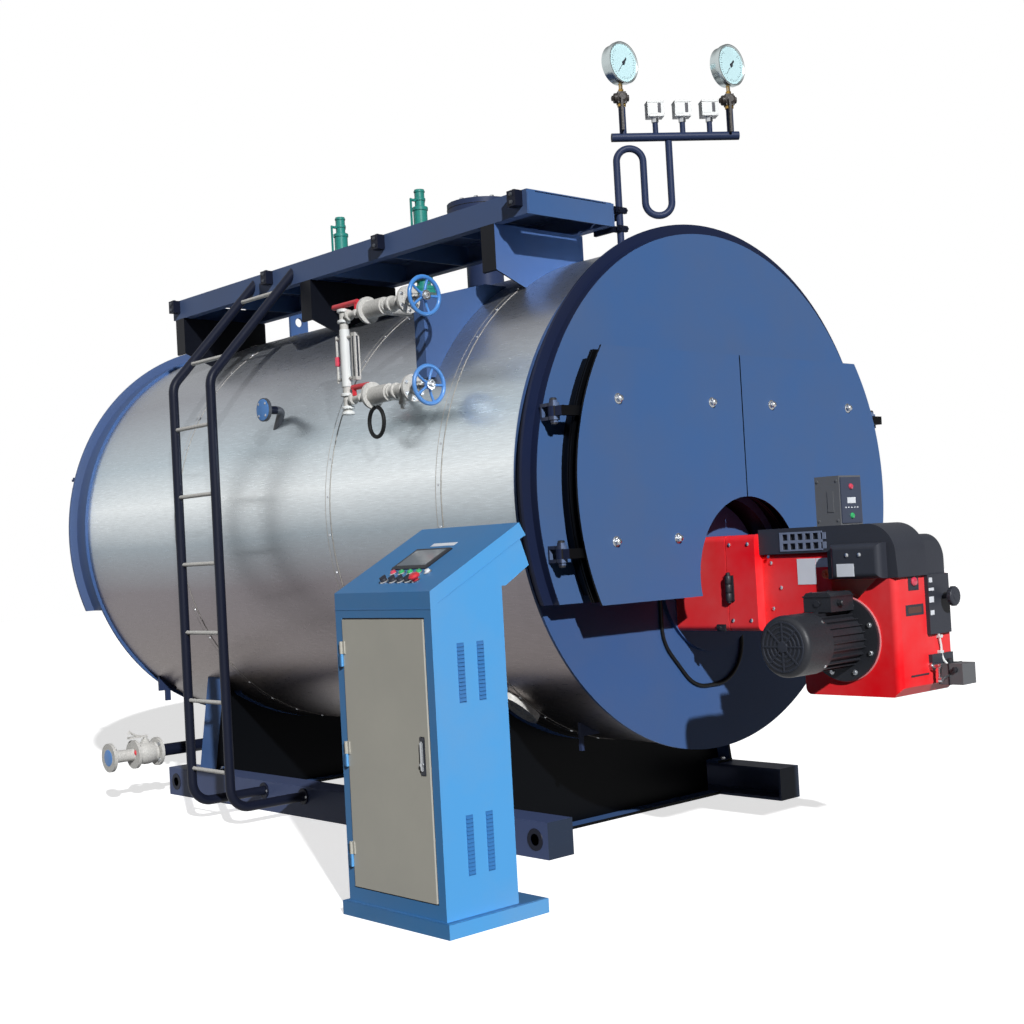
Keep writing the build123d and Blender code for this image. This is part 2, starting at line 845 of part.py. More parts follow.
def ladder_rail(y):
    points = [(-skid_half_span, y, rail_foot_height), (rail_x, y, rail_foot_height),
              (rail_x, y, walk_top - rail_lean_drop), (lean_x(walk_top), y, walk_top)]
    rail = pipe_run(rail_radius, points, rail_bend)
    return rail - block(walk_left, 0, y - rail_bend, y + rail_bend, axis_height, walk_top + rail_bend)


def ladder_rails():
    return Compound([ladder_rail(rail_front), ladder_rail(rail_rear)])


def ladder_rungs():
    rungs = []
    z = rung_first
    while z < walk_top - channel_depth:
        x = rail_x if z < walk_top - rail_lean_drop else lean_x(z)
        rungs.append(rod_y(rung_radius, rail_front + rail_radius, rail_rear - rail_radius, x, z))
        z += rung_pitch
    return Compound(rungs)


# Gauge tree
def on_tree(solid):
    """Turn what is drawn along X into the plane of the tree."""
    return Pos(tree_x, tree_y, 0) * Rot(0, 0, tree_angle) * solid


def siphon_pipe():
    s = siphon_pitch
    points = [(0, 0, axis_height), (0, 0, siphon_top), (s, 0, siphon_top), (s, 0, siphon_low),
              (s + s, 0, siphon_low), (s + s, 0, header_height - header_radius)]
    return seated(on_tree(pipe_run(pipe_radius, points, s * siphon_bend_share)))


def gauge_header():
    start, end = riser_left - header_overhang_left, riser_right + header_overhang_right
    header = rod_x(header_radius, start, end, 0, header_height)
    for x, top in riser_tops.items():
        header += rod_z(pipe_radius, header_height, top, x, 0)
    for x in (switch_left, switch_middle, switch_right):
        header += rod_z(switch_boss_radius, header_height, header_height + header_radius + switch_boss_height, x, 0)
    return on_tree(header)


def pressure_gauge(x, riser_top):
    """Round case on a short stem. Its dial looks straight ahead, whatever way the header runs."""
    foot = riser_top + cock_height
    height = foot + gauge_stem_length + gauge_radius
    half = gauge_depth / 2
    case = Cylinder(gauge_radius, gauge_depth)
    case += Pos(0, 0, half - gauge_bezel_depth / 2) * Cylinder(gauge_bezel_radius, gauge_bezel_depth)
    case = Pos(0, 0, height) * Rot(0, 0, -tree_angle) * Rot(90, 0, 0) * case
    stem = rod_z(pipe_radius / 2, foot, height - gauge_radius / 2, 0, 0)
    return on_tree(Pos(x, 0, 0) * (case + stem))


def pressure_gauges():
    return Compound([pressure_gauge(x, top) for x, top in riser_tops.items()])


def gauge_cocks():
    half = cock_width / 2
    cocks = []
    for x, top in riser_tops.items():
        cock = block(x - half, x + half, -half, half, top, top + cock_height)
        cock += block(x - cock_lever_width, x, -cock_width, -half, top - cock_lever_length, top + cock_height / 2)
        cocks.append(on_tree(cock))
    return Compound(cocks)


def pressure_switches():
    base = header_height + header_radius
    switches = []
    for x in (switch_left, switch_middle, switch_right):
        box = rod_z(pipe_radius / 2, base + switch_boss_height, base + switch_stem, x, 0)
        box += block(x - switch_width / 2, x + switch_width / 2, -switch_depth / 2, switch_depth / 2,
                     base + switch_stem, base + switch_stem + switch_height)
        switches.append(on_tree(box))
    return Compound(switches)


# Water level gauge
def level_chest():
    y0, y1 = chest_front, chest_front + chest_depth
    top = axis_height + chest_top_rise
    chest = block(chest_left, 0, y0, y1, axis_height + chest_foot_rise, top)
    chest -= across_profile([(chest_left, top - chest_corner_height), (chest_left, top),
                             (chest_left + chest_corner_width, top)], y0 - overrun, y1 + overrun)
    return seated(chest)


def hand_wheel(height):
    ring_radius = wheel_radius - wheel_rim_radius
    rim = Cylinder(wheel_radius, wheel_rim_radius * 2)
    rim -= Cylinder(ring_radius - wheel_rim_radius, wheel_rim_radius * 2)
    rim = fillet(rim.edges(), wheel_rim_round)
    wheel = Cylinder(wheel_hub_radius, wheel_hub_length)
    for k in range(wheel_spokes):
        spoke = rod_x(wheel_spoke_radius, wheel_spoke_radius, ring_radius, 0, 0)
        wheel += Rot(0, 0, 360 * k / wheel_spokes) * spoke
    wheel += rim
    wheel -= Cylinder(spindle_radius + spindle_gap, wheel_hub_length + overrun)
    return Pos(gauge_line_x, wheel_y, height) * Rot(90, 0, 0) * wheel


def level_valve(height):
    """Valve with its spindle forward, its pipe to the drum and its link to the column."""
    x = gauge_line_x
    valve = rod_y(spindle_radius, wheel_y - wheel_hub_length, bonnet_y, x, height)
    valve += rod_y(bonnet_radius, bonnet_y, standpipe_y, x, height)
    valve += rod_y(valve_body_radius, standpipe_y - valve_flange_radius, standpipe_y + valve_flange_radius, x, height)
    valve += rod_y(link_radius, standpipe_y, column_y - column_radius, x, height)
    for y in (bonnet_y + valve_flange_thick, standpipe_y + valve_flange_radius):
        valve += rod_y(valve_flange_radius, y, y + valve_flange_thick, x, height)
    valve += rod_x(standpipe_radius, x, chest_left / 2, standpipe_y, height)
    return seated(valve) - level_chest()


def level_valves():
    return Compound([level_valve(lower_cock), level_valve(upper_cock)])


def cock_lever(height, hub_y, reach):
    x = gauge_line_x
    base = height + link_radius + seat_gap
    top = base + lever_rise
    lever = rod_z(lever_stem_radius, base, top, x, hub_y)
    y0, y1 = sorted((hub_y, hub_y + reach))
    return lever + block(x - lever_stem_radius, x + lever_stem_radius, y0, y1, top, top + lever_thick)


def level_column():
    x = gauge_line_x
    column = rod_z(column_radius, lower_cock - column_foot, upper_cock + column_head, x, column_y)
    low, high = lower_cock + sight_margin, upper_cock - sight_margin
    column += block(x - sight_half, x + sight_half, sight_y - sight_half, sight_y + sight_half, low, high)
    for z in (low + sight_half, high - sight_half):
        column += rod_y(sight_arm_radius, sight_y, scale_rod_y, x, z)
    return column + rod_z(scale_rod_radius, low, high, x, scale_rod_y)


# Nozzles and valves on the drum
def side_nozzle():
    z = axis_height + nozzle_rise
    knee = -nozzle_knee_reach
    points = [(-nozzle_reach, nozzle_y, z), (knee, nozzle_y, z),
              (knee + nozzle_knee_slant, nozzle_y + nozzle_knee_back, z - nozzle_knee_drop)]
    nozzle = pipe_run(nozzle_radius, points, nozzle_bend)
    nozzle += rod_x(nozzle_flange_radius, -nozzle_reach - nozzle_flange_thick, -nozzle_reach, nozzle_y, z)
    return seated(nozzle)


def blowdown_pipe():
    z = drum_bottom - blow_drop
    points = [(blow_valve_x + blow_flange_radius, blow_y, z), (0, blow_y, z), (0, blow_y, axis_height)]
    return seated_below(pipe_run(blow_pipe_radius, points, blow_bend))


def blowdown_valve():
    z = drum_bottom - blow_drop
    x1 = blow_valve_x + blow_flange_radius
    valve = rod_x(blow_pipe_radius, -blow_reach, x1, blow_y, z)
    for x in (-blow_reach, x1 - blow_flange_thick, blow_valve_x - blow_flange_radius):
        valve += rod_x(blow_flange_radius, x, x + blow_flange_thick, blow_y, z)
    valve += rod_x(blow_body_radius, blow_valve_x - blow_body_radius, blow_valve_x + blow_body_radius, blow_y, z)
    top = z + blow_stem_rise
    valve += rod_z(blow_stem_radius, z, top, blow_valve_x, blow_y)
    return valve + block(blow_valve_x - blow_lever_length, blow_valve_x + blow_stem_radius, blow_y - blow_stem_radius,
                         blow_y + blow_stem_radius, top, top + blow_lever_thick)


def safety_valve(y):
    neck, top = drum_top + safety_neck, drum_top + safety_rise
    valve = rod_z(safety_stem_radius, axis_height, top, 0, y)
    valve += rod_z(safety_body_radius, neck, top - safety_cap_height, 0, y)
    for z in (neck - safety_flange_thick - seam_rise, neck):
        valve += rod_z(safety_flange_radius, z, z + safety_flange_thick, 0, y)
    return seated(valve)


def safety_valves():
    return Compound([safety_valve(safety_front), safety_valve(safety_rear)])


def steam_outlet():
    top = drum_top + steam_rise
    outlet = rod_z(steam_pipe_radius, axis_height, top, 0, steam_y)
    outlet += rod_z(steam_flange_radius, top - steam_flange_thick * 2, top, 0, steam_y)
    return seated(outlet)


def lifting_lugs():
    lugs = []
    for y in (lug_front, lug_rear):
        lug = block(-lug_width / 2, lug_width / 2, y - lug_thick / 2, y + lug_thick / 2,
                    axis_height, drum_top + lug_height)
        lug -= rod_y(lug_hole_radius, y - overrun, y + overrun, 0, drum_top + lug_height * lug_hole_share)
        lugs.append(seated(lug))
    return Compound(lugs)


def hand_hole():
    """Oval ring around a hand hole in the cladding, low on the left side."""
    outer = Ellipse(hand_hole_radius, hand_hole_radius * hand_hole_share)
    inner = Ellipse(hand_hole_radius - hand_hole_ring, hand_hole_radius * hand_hole_share - hand_hole_ring)
    ring = extrude(outer - inner, clad_radius + hand_hole_height)
    return seated(Pos(0, hand_hole_y, axis_height) * Rot(0, 180 + hand_hole_angle, 0) * ring)


def side_brackets():
    """Two small brackets under the drum's left side: an angle in front and a tee at the rear."""
    half, plate = bracket_width / 2, bracket_plate
    x, y = bracket_front_x, bracket_front_y
    top = axis_height - math.sqrt(clad_radius**2 - (x + half) ** 2) + overrun
    angle = block(x - half, x + half, y, y + plate, top - bracket_height, top + overrun)
    angle -= block(x - half + plate, x + half + overrun, y - overrun, y + overrun,
                   top - bracket_height - overrun, top - bracket_height / 2)
    x, y = bracket_left_x, rear_y - bracket_rear_inset
    top = axis_height - math.sqrt(clad_radius**2 - (x + half) ** 2) + overrun
    tee = block(x - half, x + half, y - plate, y, top - bracket_height / 2, top + overrun)
    tee += block(x - plate, x + plate, y - plate, y, top - bracket_height, top)
    return Compound([seated(angle), seated(tee)])


# Operator cabinet
def slope_height(x, start):
    """Height at x of a line that rises with the console from start at the door side."""
    return start + (x - cabinet_left) * console_slope_rise / console_slope_run


def cabinet_plinth():
    return block(cabinet_left - plinth_margin / 2, cabinet_right + plinth_back,
                 cabinet_front - plinth_margin, cabinet_back + plinth_margin, 0, plinth_height)


def cabinet_body():
    nose = cabinet_left + console_slope_run
    back = cabinet_right + console_back_run
    outline = [(cabinet_left, plinth_height), (cabinet_right, plinth_height),
               (cabinet_right, cabinet_neck_height), (cabinet_right + cabinet_neck_run, cabinet_neck_height),
               (back, console_back_height), (nose, slope_height(nose, cabinet_front_height)),
               (cabinet_left, cabinet_front_height)]
    body = across_profile(outline, cabinet_front, cabinet_back)
    inner = offset(make_face(Polyline(*outline, close=True)), -cabinet_wall)
    depth = cabinet_width - 2 * cabinet_wall
    body -= Pos(0, cabinet_back - cabinet_wall, 0) * extrude(Plane.XZ * inner, depth)
    return body - block(cabinet_left - overrun, cabinet_left + cabinet_wall + overrun, cabinet_front + door_edge,
                        cabinet_back - door_edge, door_foot, door_head)


def cabinet_console():
    """Sloping tray on top, with a lip towards the door and an overhanging nose."""
    nose = cabinet_left + console_slope_run
    start = cabinet_front_height
    outline = [(cabinet_left, start), (nose, slope_height(nose, start)),
               (nose + console_nose, slope_height(nose, start + console_lip) - console_nose_drop),
               (nose, slope_height(nose, start + console_lip)), (cabinet_left, start + console_lip)]
    return across_profile(outline, cabinet_front, cabinet_back)


def cabinet_screen():
    """Framed screen that lies on the console's slope."""
    frame = Box(screen_depth, screen_width, screen_thick)
    frame = chamfer(frame.faces().sort_by(Axis.Z)[-1].edges(), screen_thick / 2)
    middle = (cabinet_front + cabinet_back) / 2 + screen_across
    lift = Pos(cabinet_left, middle, cabinet_front_height + console_lip) * Rot(0, -console_angle, 0)
    return lift * Pos(screen_along, 0, screen_thick / 2) * frame


def hinge_line():
    return cabinet_left - cabinet_hinge_out, cabinet_back - door_edge


def cabinet_door():
    edge = door_edge + panel_gap
    door = block(cabinet_left - panel_proud, cabinet_left + panel_thick - panel_proud,
                 cabinet_front + edge, cabinet_back - edge, door_foot + panel_gap, door_head - panel_gap)
    x, y = hinge_line()
    for height in (cabinet_hinge_low, cabinet_hinge_middle, cabinet_hinge_high):
        low, high = height + hinge_gap / 2, height + cabinet_hinge_length
        door += rod_z(cabinet_hinge_radius, low, high, x, y)
        door += block(x, cabinet_left, y - cabinet_hinge_plate, y, low, high)
        door -= rod_z(cabinet_pin_radius + hinge_gap, low - overrun, high + overrun, x, y)
    return door


def cabinet_hinges():
    x, y = hinge_line()
    hinges = []
    for height in (cabinet_hinge_low, cabinet_hinge_middle, cabinet_hinge_high):
        low, high = height - cabinet_hinge_length, height - hinge_gap / 2
        hinge = rod_z(cabinet_hinge_radius, low, high, x, y)
        hinge += block(x, cabinet_left, y, y + cabinet_hinge_plate, low, high)
        hinge += rod_z(cabinet_pin_radius, low, height + cabinet_hinge_length, x, y)
        hinges.append(hinge)
    return Compound(hinges)


os.makedirs("parts", exist_ok=True)

nodes = {
    "clad_shell": clad_shell(),
    "front_end_plate": front_plate(),
    "rear_end_plate": rear_plate(),
    "front_smoke_box": front_smoke_box(),
    "rear_smoke_box": rear_smoke_box(),
    "smoke_box_door_left": door_leaf(-1),
    "smoke_box_door_right": door_leaf(1),
    "door_hinges": door_hinges(),
    "rear_box_clamps": rear_clamps(),
    "skid_beams": Compound([skid_beam(-1), skid_beam(1)]),
    "saddle_front": saddle(front_overhang),
    "saddle_rear": saddle(front_overhang + saddle_pitch),
    "hand_hole_ring": hand_hole(),
    "side_brackets": side_brackets(),
    "burner_mount_plate": burner_mount(),
    "burner_flange_housing": burner_housing(),
    "burner_body": burner_body(),
    "burner_fan_scroll": fan_scroll(),
    "burner_motor": fan_motor(),
    "burner_motor_cowl": motor_cowl(),
    "burner_terminal_box": terminal_box(),
    "burner_top_cover": top_cover(),
    "burner_switch_box": switch_box(),
    "burner_control_box": control_box(),
    "burner_tail_cover": tail_cover(),
    "burner_air_actuator": air_actuator(),
    "burner_knob": burner_knob(),
    "burner_cable": burner_cable(),
    "walkway_frame": walk_frame(),
    "walkway_deck": walk_deck(),
    "walkway_posts": walk_posts(),
    "walkway_clips": walk_clips(),
    "ladder_rails": ladder_rails(),
    "ladder_rungs": ladder_rungs(),
    "siphon_pipe": siphon_pipe(),
    "gauge_header": gauge_header(),
    "pressure_gauges": pressure_gauges(),
    "gauge_cocks": gauge_cocks(),
    "pressure_switches": pressure_switches(),
    "level_chest": level_chest(),
    "level_valves": level_valves(),
    "hand_wheel_lower": hand_wheel(lower_cock),
    "hand_wheel_upper": hand_wheel(upper_cock),
    "level_lever_lower": cock_lever(lower_cock, lower_lever_y, lower_lever_reach),
    "level_lever_upper": cock_lever(upper_cock, upper_lever_y, upper_lever_reach),
    "level_column": level_column(),
    "side_nozzle": side_nozzle(),
    "blowdown_pipe": blowdown_pipe(),
    "blowdown_valve": blowdown_valve(),
    "safety_valves": safety_valves(),
    "steam_outlet": steam_outlet(),
    "lifting_lugs": lifting_lugs(),
    "cabinet_plinth": cabinet_plinth(),
    "cabinet_body": cabinet_body(),
    "cabinet_console": cabinet_console(),
    "cabinet_screen": cabinet_screen(),
    "cabinet_door": cabinet_door(),
    "cabinet_hinges": cabinet_hinges(),
}
for name, solid in nodes.items():
    export_step(Pos(0, -front_overhang, 0) * solid, f"parts/{name}.step")
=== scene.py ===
import bpy
import bmesh
import math
from mathutils import Matrix, Vector


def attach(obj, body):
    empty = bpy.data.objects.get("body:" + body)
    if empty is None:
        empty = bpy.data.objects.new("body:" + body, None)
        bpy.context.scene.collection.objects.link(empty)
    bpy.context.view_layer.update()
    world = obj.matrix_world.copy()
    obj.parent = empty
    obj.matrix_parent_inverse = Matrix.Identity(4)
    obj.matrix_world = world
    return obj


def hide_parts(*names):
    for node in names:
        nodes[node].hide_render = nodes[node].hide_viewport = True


# Packaged steam boiler: looks built around the fixed CAD frame. Metres, Z up,
# Y runs from the burner to the rear, origin on the ground under the front saddle.
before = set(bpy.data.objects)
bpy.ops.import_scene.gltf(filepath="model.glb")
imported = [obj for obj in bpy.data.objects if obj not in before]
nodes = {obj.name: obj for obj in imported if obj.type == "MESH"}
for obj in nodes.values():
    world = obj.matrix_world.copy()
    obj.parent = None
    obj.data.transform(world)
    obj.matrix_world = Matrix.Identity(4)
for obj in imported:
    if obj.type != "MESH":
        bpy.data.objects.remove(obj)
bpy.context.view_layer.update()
print("frame loaded:", len(nodes), "nodes")

plateY = -0.615                      # face of the front end plate
boxY = plateY - 0.100                # front of the smoke box
doorY = plateY - 0.214               # front of the door leaves
axisZ = 1.33                         # drum axis
cladR = 0.988                        # outside of the cladding
scrollX, scrollY = -0.190, -1.581    # left and front faces of the fan scroll
coverX = -0.192                      # left face of the burner's top cover
tree = {"x": -0.190, "y": -0.423, "turn": -34.8}      # foot of the gauge tree and its turn in degrees


# materials
def linear(hexCode):
    parts = [int(hexCode[i:i + 2], 16) / 255 for i in (1, 3, 5)]
    return [c / 12.92 if c <= 0.04045 else ((c + 0.055) / 1.055) ** 2.4 for c in parts] + [1.0]


rgba = {"data_type": "RGBA"}
over = {"operation": "GREATER_THAN"}
under = {"operation": "LESS_THAN"}
times = {"operation": "MULTIPLY"}
larger = {"operation": "MAXIMUM"}
magnitude = {"operation": "ABSOLUTE"}


def feed(graph, node, **inputs):
    # an input takes a value or another node's output; i2 means socket 2
    for key, value in inputs.items():
        socket = node.inputs[int(key[1:]) if key[1:].isdigit() else key.replace("_", " ")]
        if isinstance(value, bpy.types.NodeSocket):
            graph.links.new(value, socket)
        else:
            socket.default_value = value


def addNode(graph, kind, settings=None, **inputs):
    # one node with its settings and its inputs; "stops" are a ramp's places and colours
    node = graph.nodes.new(kind)
    for key, value in (settings or {}).items():
        if key == "stops":
            band = node.color_ramp.elements
            while len(band) < len(value):
                band.new(0.5)
            for element, (place, colour) in zip(band, value):
                element.position = place
                element.color = linear(colour) if isinstance(colour, str) else [colour] * 3 + [1]
        else:
            setattr(node, key, value)
    feed(graph, node, **inputs)
    return node


def newMaterial(name):
    material = bpy.data.materials.new(name)
    material.use_nodes = True
    graph = material.node_tree
    return material, graph, graph.nodes["Principled BSDF"], addNode(graph, "ShaderNodeTexCoord")


def shaded(colour, share):
    return [share * c for c in linear(colour)[:3]] + [1]


def sprayedPaint(name, colour, rough=0.42, dust=0.03, shine=0.14, sides=None, litAhead=None, shadeColour="#141a2c"):
    # sprayed enamel or powder coat: faint orange peel, uneven gloss and a little dust in the pores.
    # The side colour goes on faces that don't look along Y, as painted light and shade; with the front limit,
    # only the -Y faces ahead of that Y keep the paint and all other faces get a painted shade colour
    material, graph, shader, coords = newMaterial(name)
    place = coords.outputs["Object"]
    cloud = addNode(graph, "ShaderNodeTexNoise", Vector=place, Scale=1.9, Detail=5.0,
                    Roughness=0.6).outputs[0]
    grains = addNode(graph, "ShaderNodeTexNoise", Vector=place, Scale=60.0, Detail=3.0).outputs[0]
    peel = addNode(graph, "ShaderNodeTexNoise", Vector=place, Scale=230.0, Detail=2.0).outputs[0]
    patch = addNode(graph, "ShaderNodeValToRGB", {"stops": [(0.35, 0.0), (0.72, 1.0)]}, i0=cloud).outputs[0]
    specks = addNode(graph, "ShaderNodeValToRGB", {"stops": [(0.60, 0.0), (0.80, dust)]},
                     i0=grains).outputs[0]
    tone = linear(colour)
    if sides or litAhead is not None:
        facing = addNode(graph, "ShaderNodeSeparateXYZ", i0=coords.outputs["Normal"]).outputs["Y"]
        if litAhead is not None:
            station = addNode(graph, "ShaderNodeSeparateXYZ", i0=place).outputs["Y"]
            ahead = addNode(graph, "ShaderNodeMath", under, i0=station, i1=litAhead).outputs[0]
            front = addNode(graph, "ShaderNodeMath", under, i0=facing, i1=-0.7).outputs[0]
            keep = addNode(graph, "ShaderNodeMath", times, i0=ahead, i1=front).outputs[0]
        else:
            flat = addNode(graph, "ShaderNodeMath", magnitude, i0=facing).outputs[0]
            keep = addNode(graph, "ShaderNodeMath", over, i0=flat, i1=0.7).outputs[0]
        # painted light and shade: the colour follows the direction the face looks
        tone = addNode(graph, "ShaderNodeMix", rgba, i0=keep, i6=linear(sides or shadeColour),
                       i7=linear(colour)).outputs[2]
    dull = addNode(graph, "ShaderNodeHueSaturation", Saturation=0.88, Value=0.88, Color=tone).outputs[0]
    mixed = addNode(graph, "ShaderNodeMix", rgba, i0=patch, i6=tone, i7=dull).outputs[2]
    final = addNode(graph, "ShaderNodeMix", rgba, i0=specks, i6=mixed, i7=linear("#83868c"))
    gloss = addNode(graph, "ShaderNodeValToRGB", {"stops": [(0.3, rough - 0.05), (0.8, rough + 0.08)]},
                    i0=cloud)
    bump = addNode(graph, "ShaderNodeBump", Height=peel, Strength=0.12, Distance=0.00015)
    feed(graph, shader, Base_Color=final.outputs[2], Roughness=gloss.outputs[0], Normal=bump.outputs[0],
         Specular_IOR_Level=shine)
    return material


def drumPaint(name, face, rim, innerShade, shadedLips=None):
    # the same enamel on the round boxes: blue on the faces; navy painted shade on the flange ring and outer
    # sides;
    # black painted shade, over a dark rope seal, on the frame's sides and on the lips between its two Y
    # values
    material, graph, shader, coords = newMaterial(name)
    place = coords.outputs["Object"]
    flat = addNode(graph, "ShaderNodeSeparateXYZ", i0=coords.outputs["Normal"]).outputs["Y"]
    flat = addNode(graph, "ShaderNodeMath", magnitude, i0=flat).outputs[0]
    facing = addNode(graph, "ShaderNodeMath", over, i0=flat, i1=0.7).outputs[0]
    centred = addNode(graph, "ShaderNodeMapping", i0=place, Location=(0, 0, -axisZ)).outputs[0]
    across = addNode(graph, "ShaderNodeVectorMath", times, i0=centred, i1=(1, 0, 1)).outputs[0]
    radius = addNode(graph, "ShaderNodeVectorMath", {"operation": "LENGTH"}, i0=across).outputs["Value"]
    # painted shade: the face's outer ring takes the darker rim colour
    outer = addNode(graph, "ShaderNodeMath", over, i0=radius, i1=0.997).outputs[0]
    shell = addNode(graph, "ShaderNodeMath", over, i0=radius, i1=0.95).outputs[0]
    onFace = addNode(graph, "ShaderNodeMix", rgba, i0=outer, i6=linear(face), i7=linear(rim)).outputs[2]
    if shadedLips:
        depth = addNode(graph, "ShaderNodeSeparateXYZ", i0=place).outputs["Y"]
        ahead = addNode(graph, "ShaderNodeMath", under, i0=depth, i1=shadedLips[0]).outputs[0]
        behind = addNode(graph, "ShaderNodeMath", over, i0=depth, i1=shadedLips[1]).outputs[0]
        between = addNode(graph, "ShaderNodeMath", times, i0=ahead, i1=behind).outputs[0]
        onFace = addNode(graph, "ShaderNodeMix", rgba, i0=between, i6=onFace, i7=linear(innerShade)).outputs[2]
    # painted shade on the sides: inner sides in the darkest colour, outer sides in the rim colour
    shadedSide = addNode(graph, "ShaderNodeMix", rgba, i0=shell, i6=linear(innerShade), i7=linear(rim)).outputs[2]
    tone = addNode(graph, "ShaderNodeMix", rgba, i0=facing, i6=shadedSide, i7=onFace).outputs[2]
    cloud = addNode(graph, "ShaderNodeTexNoise", Vector=place, Scale=1.9, Detail=5.0,
                    Roughness=0.6).outputs[0]
    peel = addNode(graph, "ShaderNodeTexNoise", Vector=place, Scale=230.0, Detail=2.0).outputs[0]
    patch = addNode(graph, "ShaderNodeValToRGB", {"stops": [(0.35, 0.0), (0.72, 1.0)]}, i0=cloud).outputs[0]
    dull = addNode(graph, "ShaderNodeHueSaturation", Saturation=0.88, Value=0.86, Color=tone).outputs[0]
    final = addNode(graph, "ShaderNodeMix", rgba, i0=patch, i6=tone, i7=dull)
    gloss = addNode(graph, "ShaderNodeValToRGB", {"stops": [(0.3, 0.37), (0.8, 0.5)]}, i0=cloud)
    bump = addNode(graph, "ShaderNodeBump", Height=peel, Strength=0.12, Distance=0.00015)
    feed(graph, shader, Base_Color=final.outputs[2], Roughness=gloss.outputs[0], Normal=bump.outputs[0],
         Specular_IOR_Level=0.12)
    return material


def mouldedPlastic(name, colour, rough=0.42, grain=0.0007, shine=0.35):
    # injection moulded or dipped polymer: fine spark-eroded grain that breaks the highlight up
    material, graph, shader, coords = newMaterial(name)
    place = coords.outputs["Object"]
    cloud = addNode(graph, "ShaderNodeTexNoise", Vector=place, Scale=6.0, Detail=3.0).outputs[0]
    speckle = addNode(graph, "ShaderNodeTexNoise", Vector=place, Scale=1 / (grain * 5), Detail=2.0).outputs[0]
    tone = addNode(graph, "ShaderNodeMix", rgba, i0=cloud, i6=shaded(colour, 0.85), i7=shaded(colour, 1.15))
    gloss = addNode(graph, "ShaderNodeValToRGB", {"stops": [(0.3, rough - 0.05), (0.7, rough + 0.08)]},
                    i0=speckle)
    bump = addNode(graph, "ShaderNodeBump", Height=speckle, Strength=0.2, Distance=grain / 5)
    feed(graph, shader, Base_Color=tone.outputs[2], Roughness=gloss.outputs[0], Normal=bump.outputs[0],
         Specular_IOR_Level=shine)
    return material


def castMetal(name, colour, rough=0.45, grain=0.002):
    # sand casting under a thin coat: coarse grain, darker in the hollows
    material, graph, shader, coords = newMaterial(name)
    place = coords.outputs["Object"]
    sand = addNode(graph, "ShaderNodeTexNoise", Vector=place, Scale=1 / (grain * 4), Detail=4.0,
                   Roughness=0.6).outputs[0]
    hollow = addNode(graph, "ShaderNodeValToRGB", {"stops": [(0.25, 0.8), (0.6, 0.0)]}, i0=sand).outputs[0]
    tone = addNode(graph, "ShaderNodeMix", rgba, i0=hollow, i6=linear(colour), i7=shaded(colour, 0.6))
    gloss = addNode(graph, "ShaderNodeValToRGB", {"stops": [(0.3, rough + 0.12), (0.7, rough - 0.05)]},
                    i0=sand)
    bump = addNode(graph, "ShaderNodeBump", Height=sand, Strength=0.35, Distance=grain / 5)
    feed(graph, shader, Base_Color=tone.outputs[2], Roughness=gloss.outputs[0], Normal=bump.outputs[0],
         Specular_IOR_Level=0.35)
    return material


def platedSteel(name, colour, rough=0.25, streak=0.0004):
    # machined and plated: metallic with faint turning marks
    material, graph, shader, coords = newMaterial(name)
    lathe = addNode(graph, "ShaderNodeMapping", i0=coords.outputs["Object"], Scale=(1, 1, 8)).outputs[0]
    marks = addNode(graph, "ShaderNodeTexNoise", Vector=lathe, Scale=1 / (streak * 20), Detail=3.0).outputs[0]
    tone = addNode(graph, "ShaderNodeMix", rgba, i0=marks, i6=linear(colour), i7=shaded(colour, 0.75))
    gloss = addNode(graph, "ShaderNodeValToRGB", {"stops": [(0.3, rough - 0.06), (0.7, rough + 0.1)]},
                    i0=marks)
    bump = addNode(graph, "ShaderNodeBump", Height=marks, Strength=0.15, Distance=streak)
    feed(graph, shader, Base_Color=tone.outputs[2], Roughness=gloss.outputs[0], Normal=bump.outputs[0],
         Metallic=1.0)
    return material


# tone of the sheet from the belly to the crown, painted reflection and shade: dark and warm low down, where
# painted shade under the belly mixes with road dust, and a painted bright band where the sheet faces the
# horizon
dustAndReflectionTones = [(0.00, "#403a38"), (0.15, "#807674"), (0.35, "#857f84"), (0.46, "#a2aeb6"), (0.56, "#f4fafc"),
             (0.66, "#c2d0d8"), (0.82, "#acb0b8"), (1.00, "#dde2e8")]


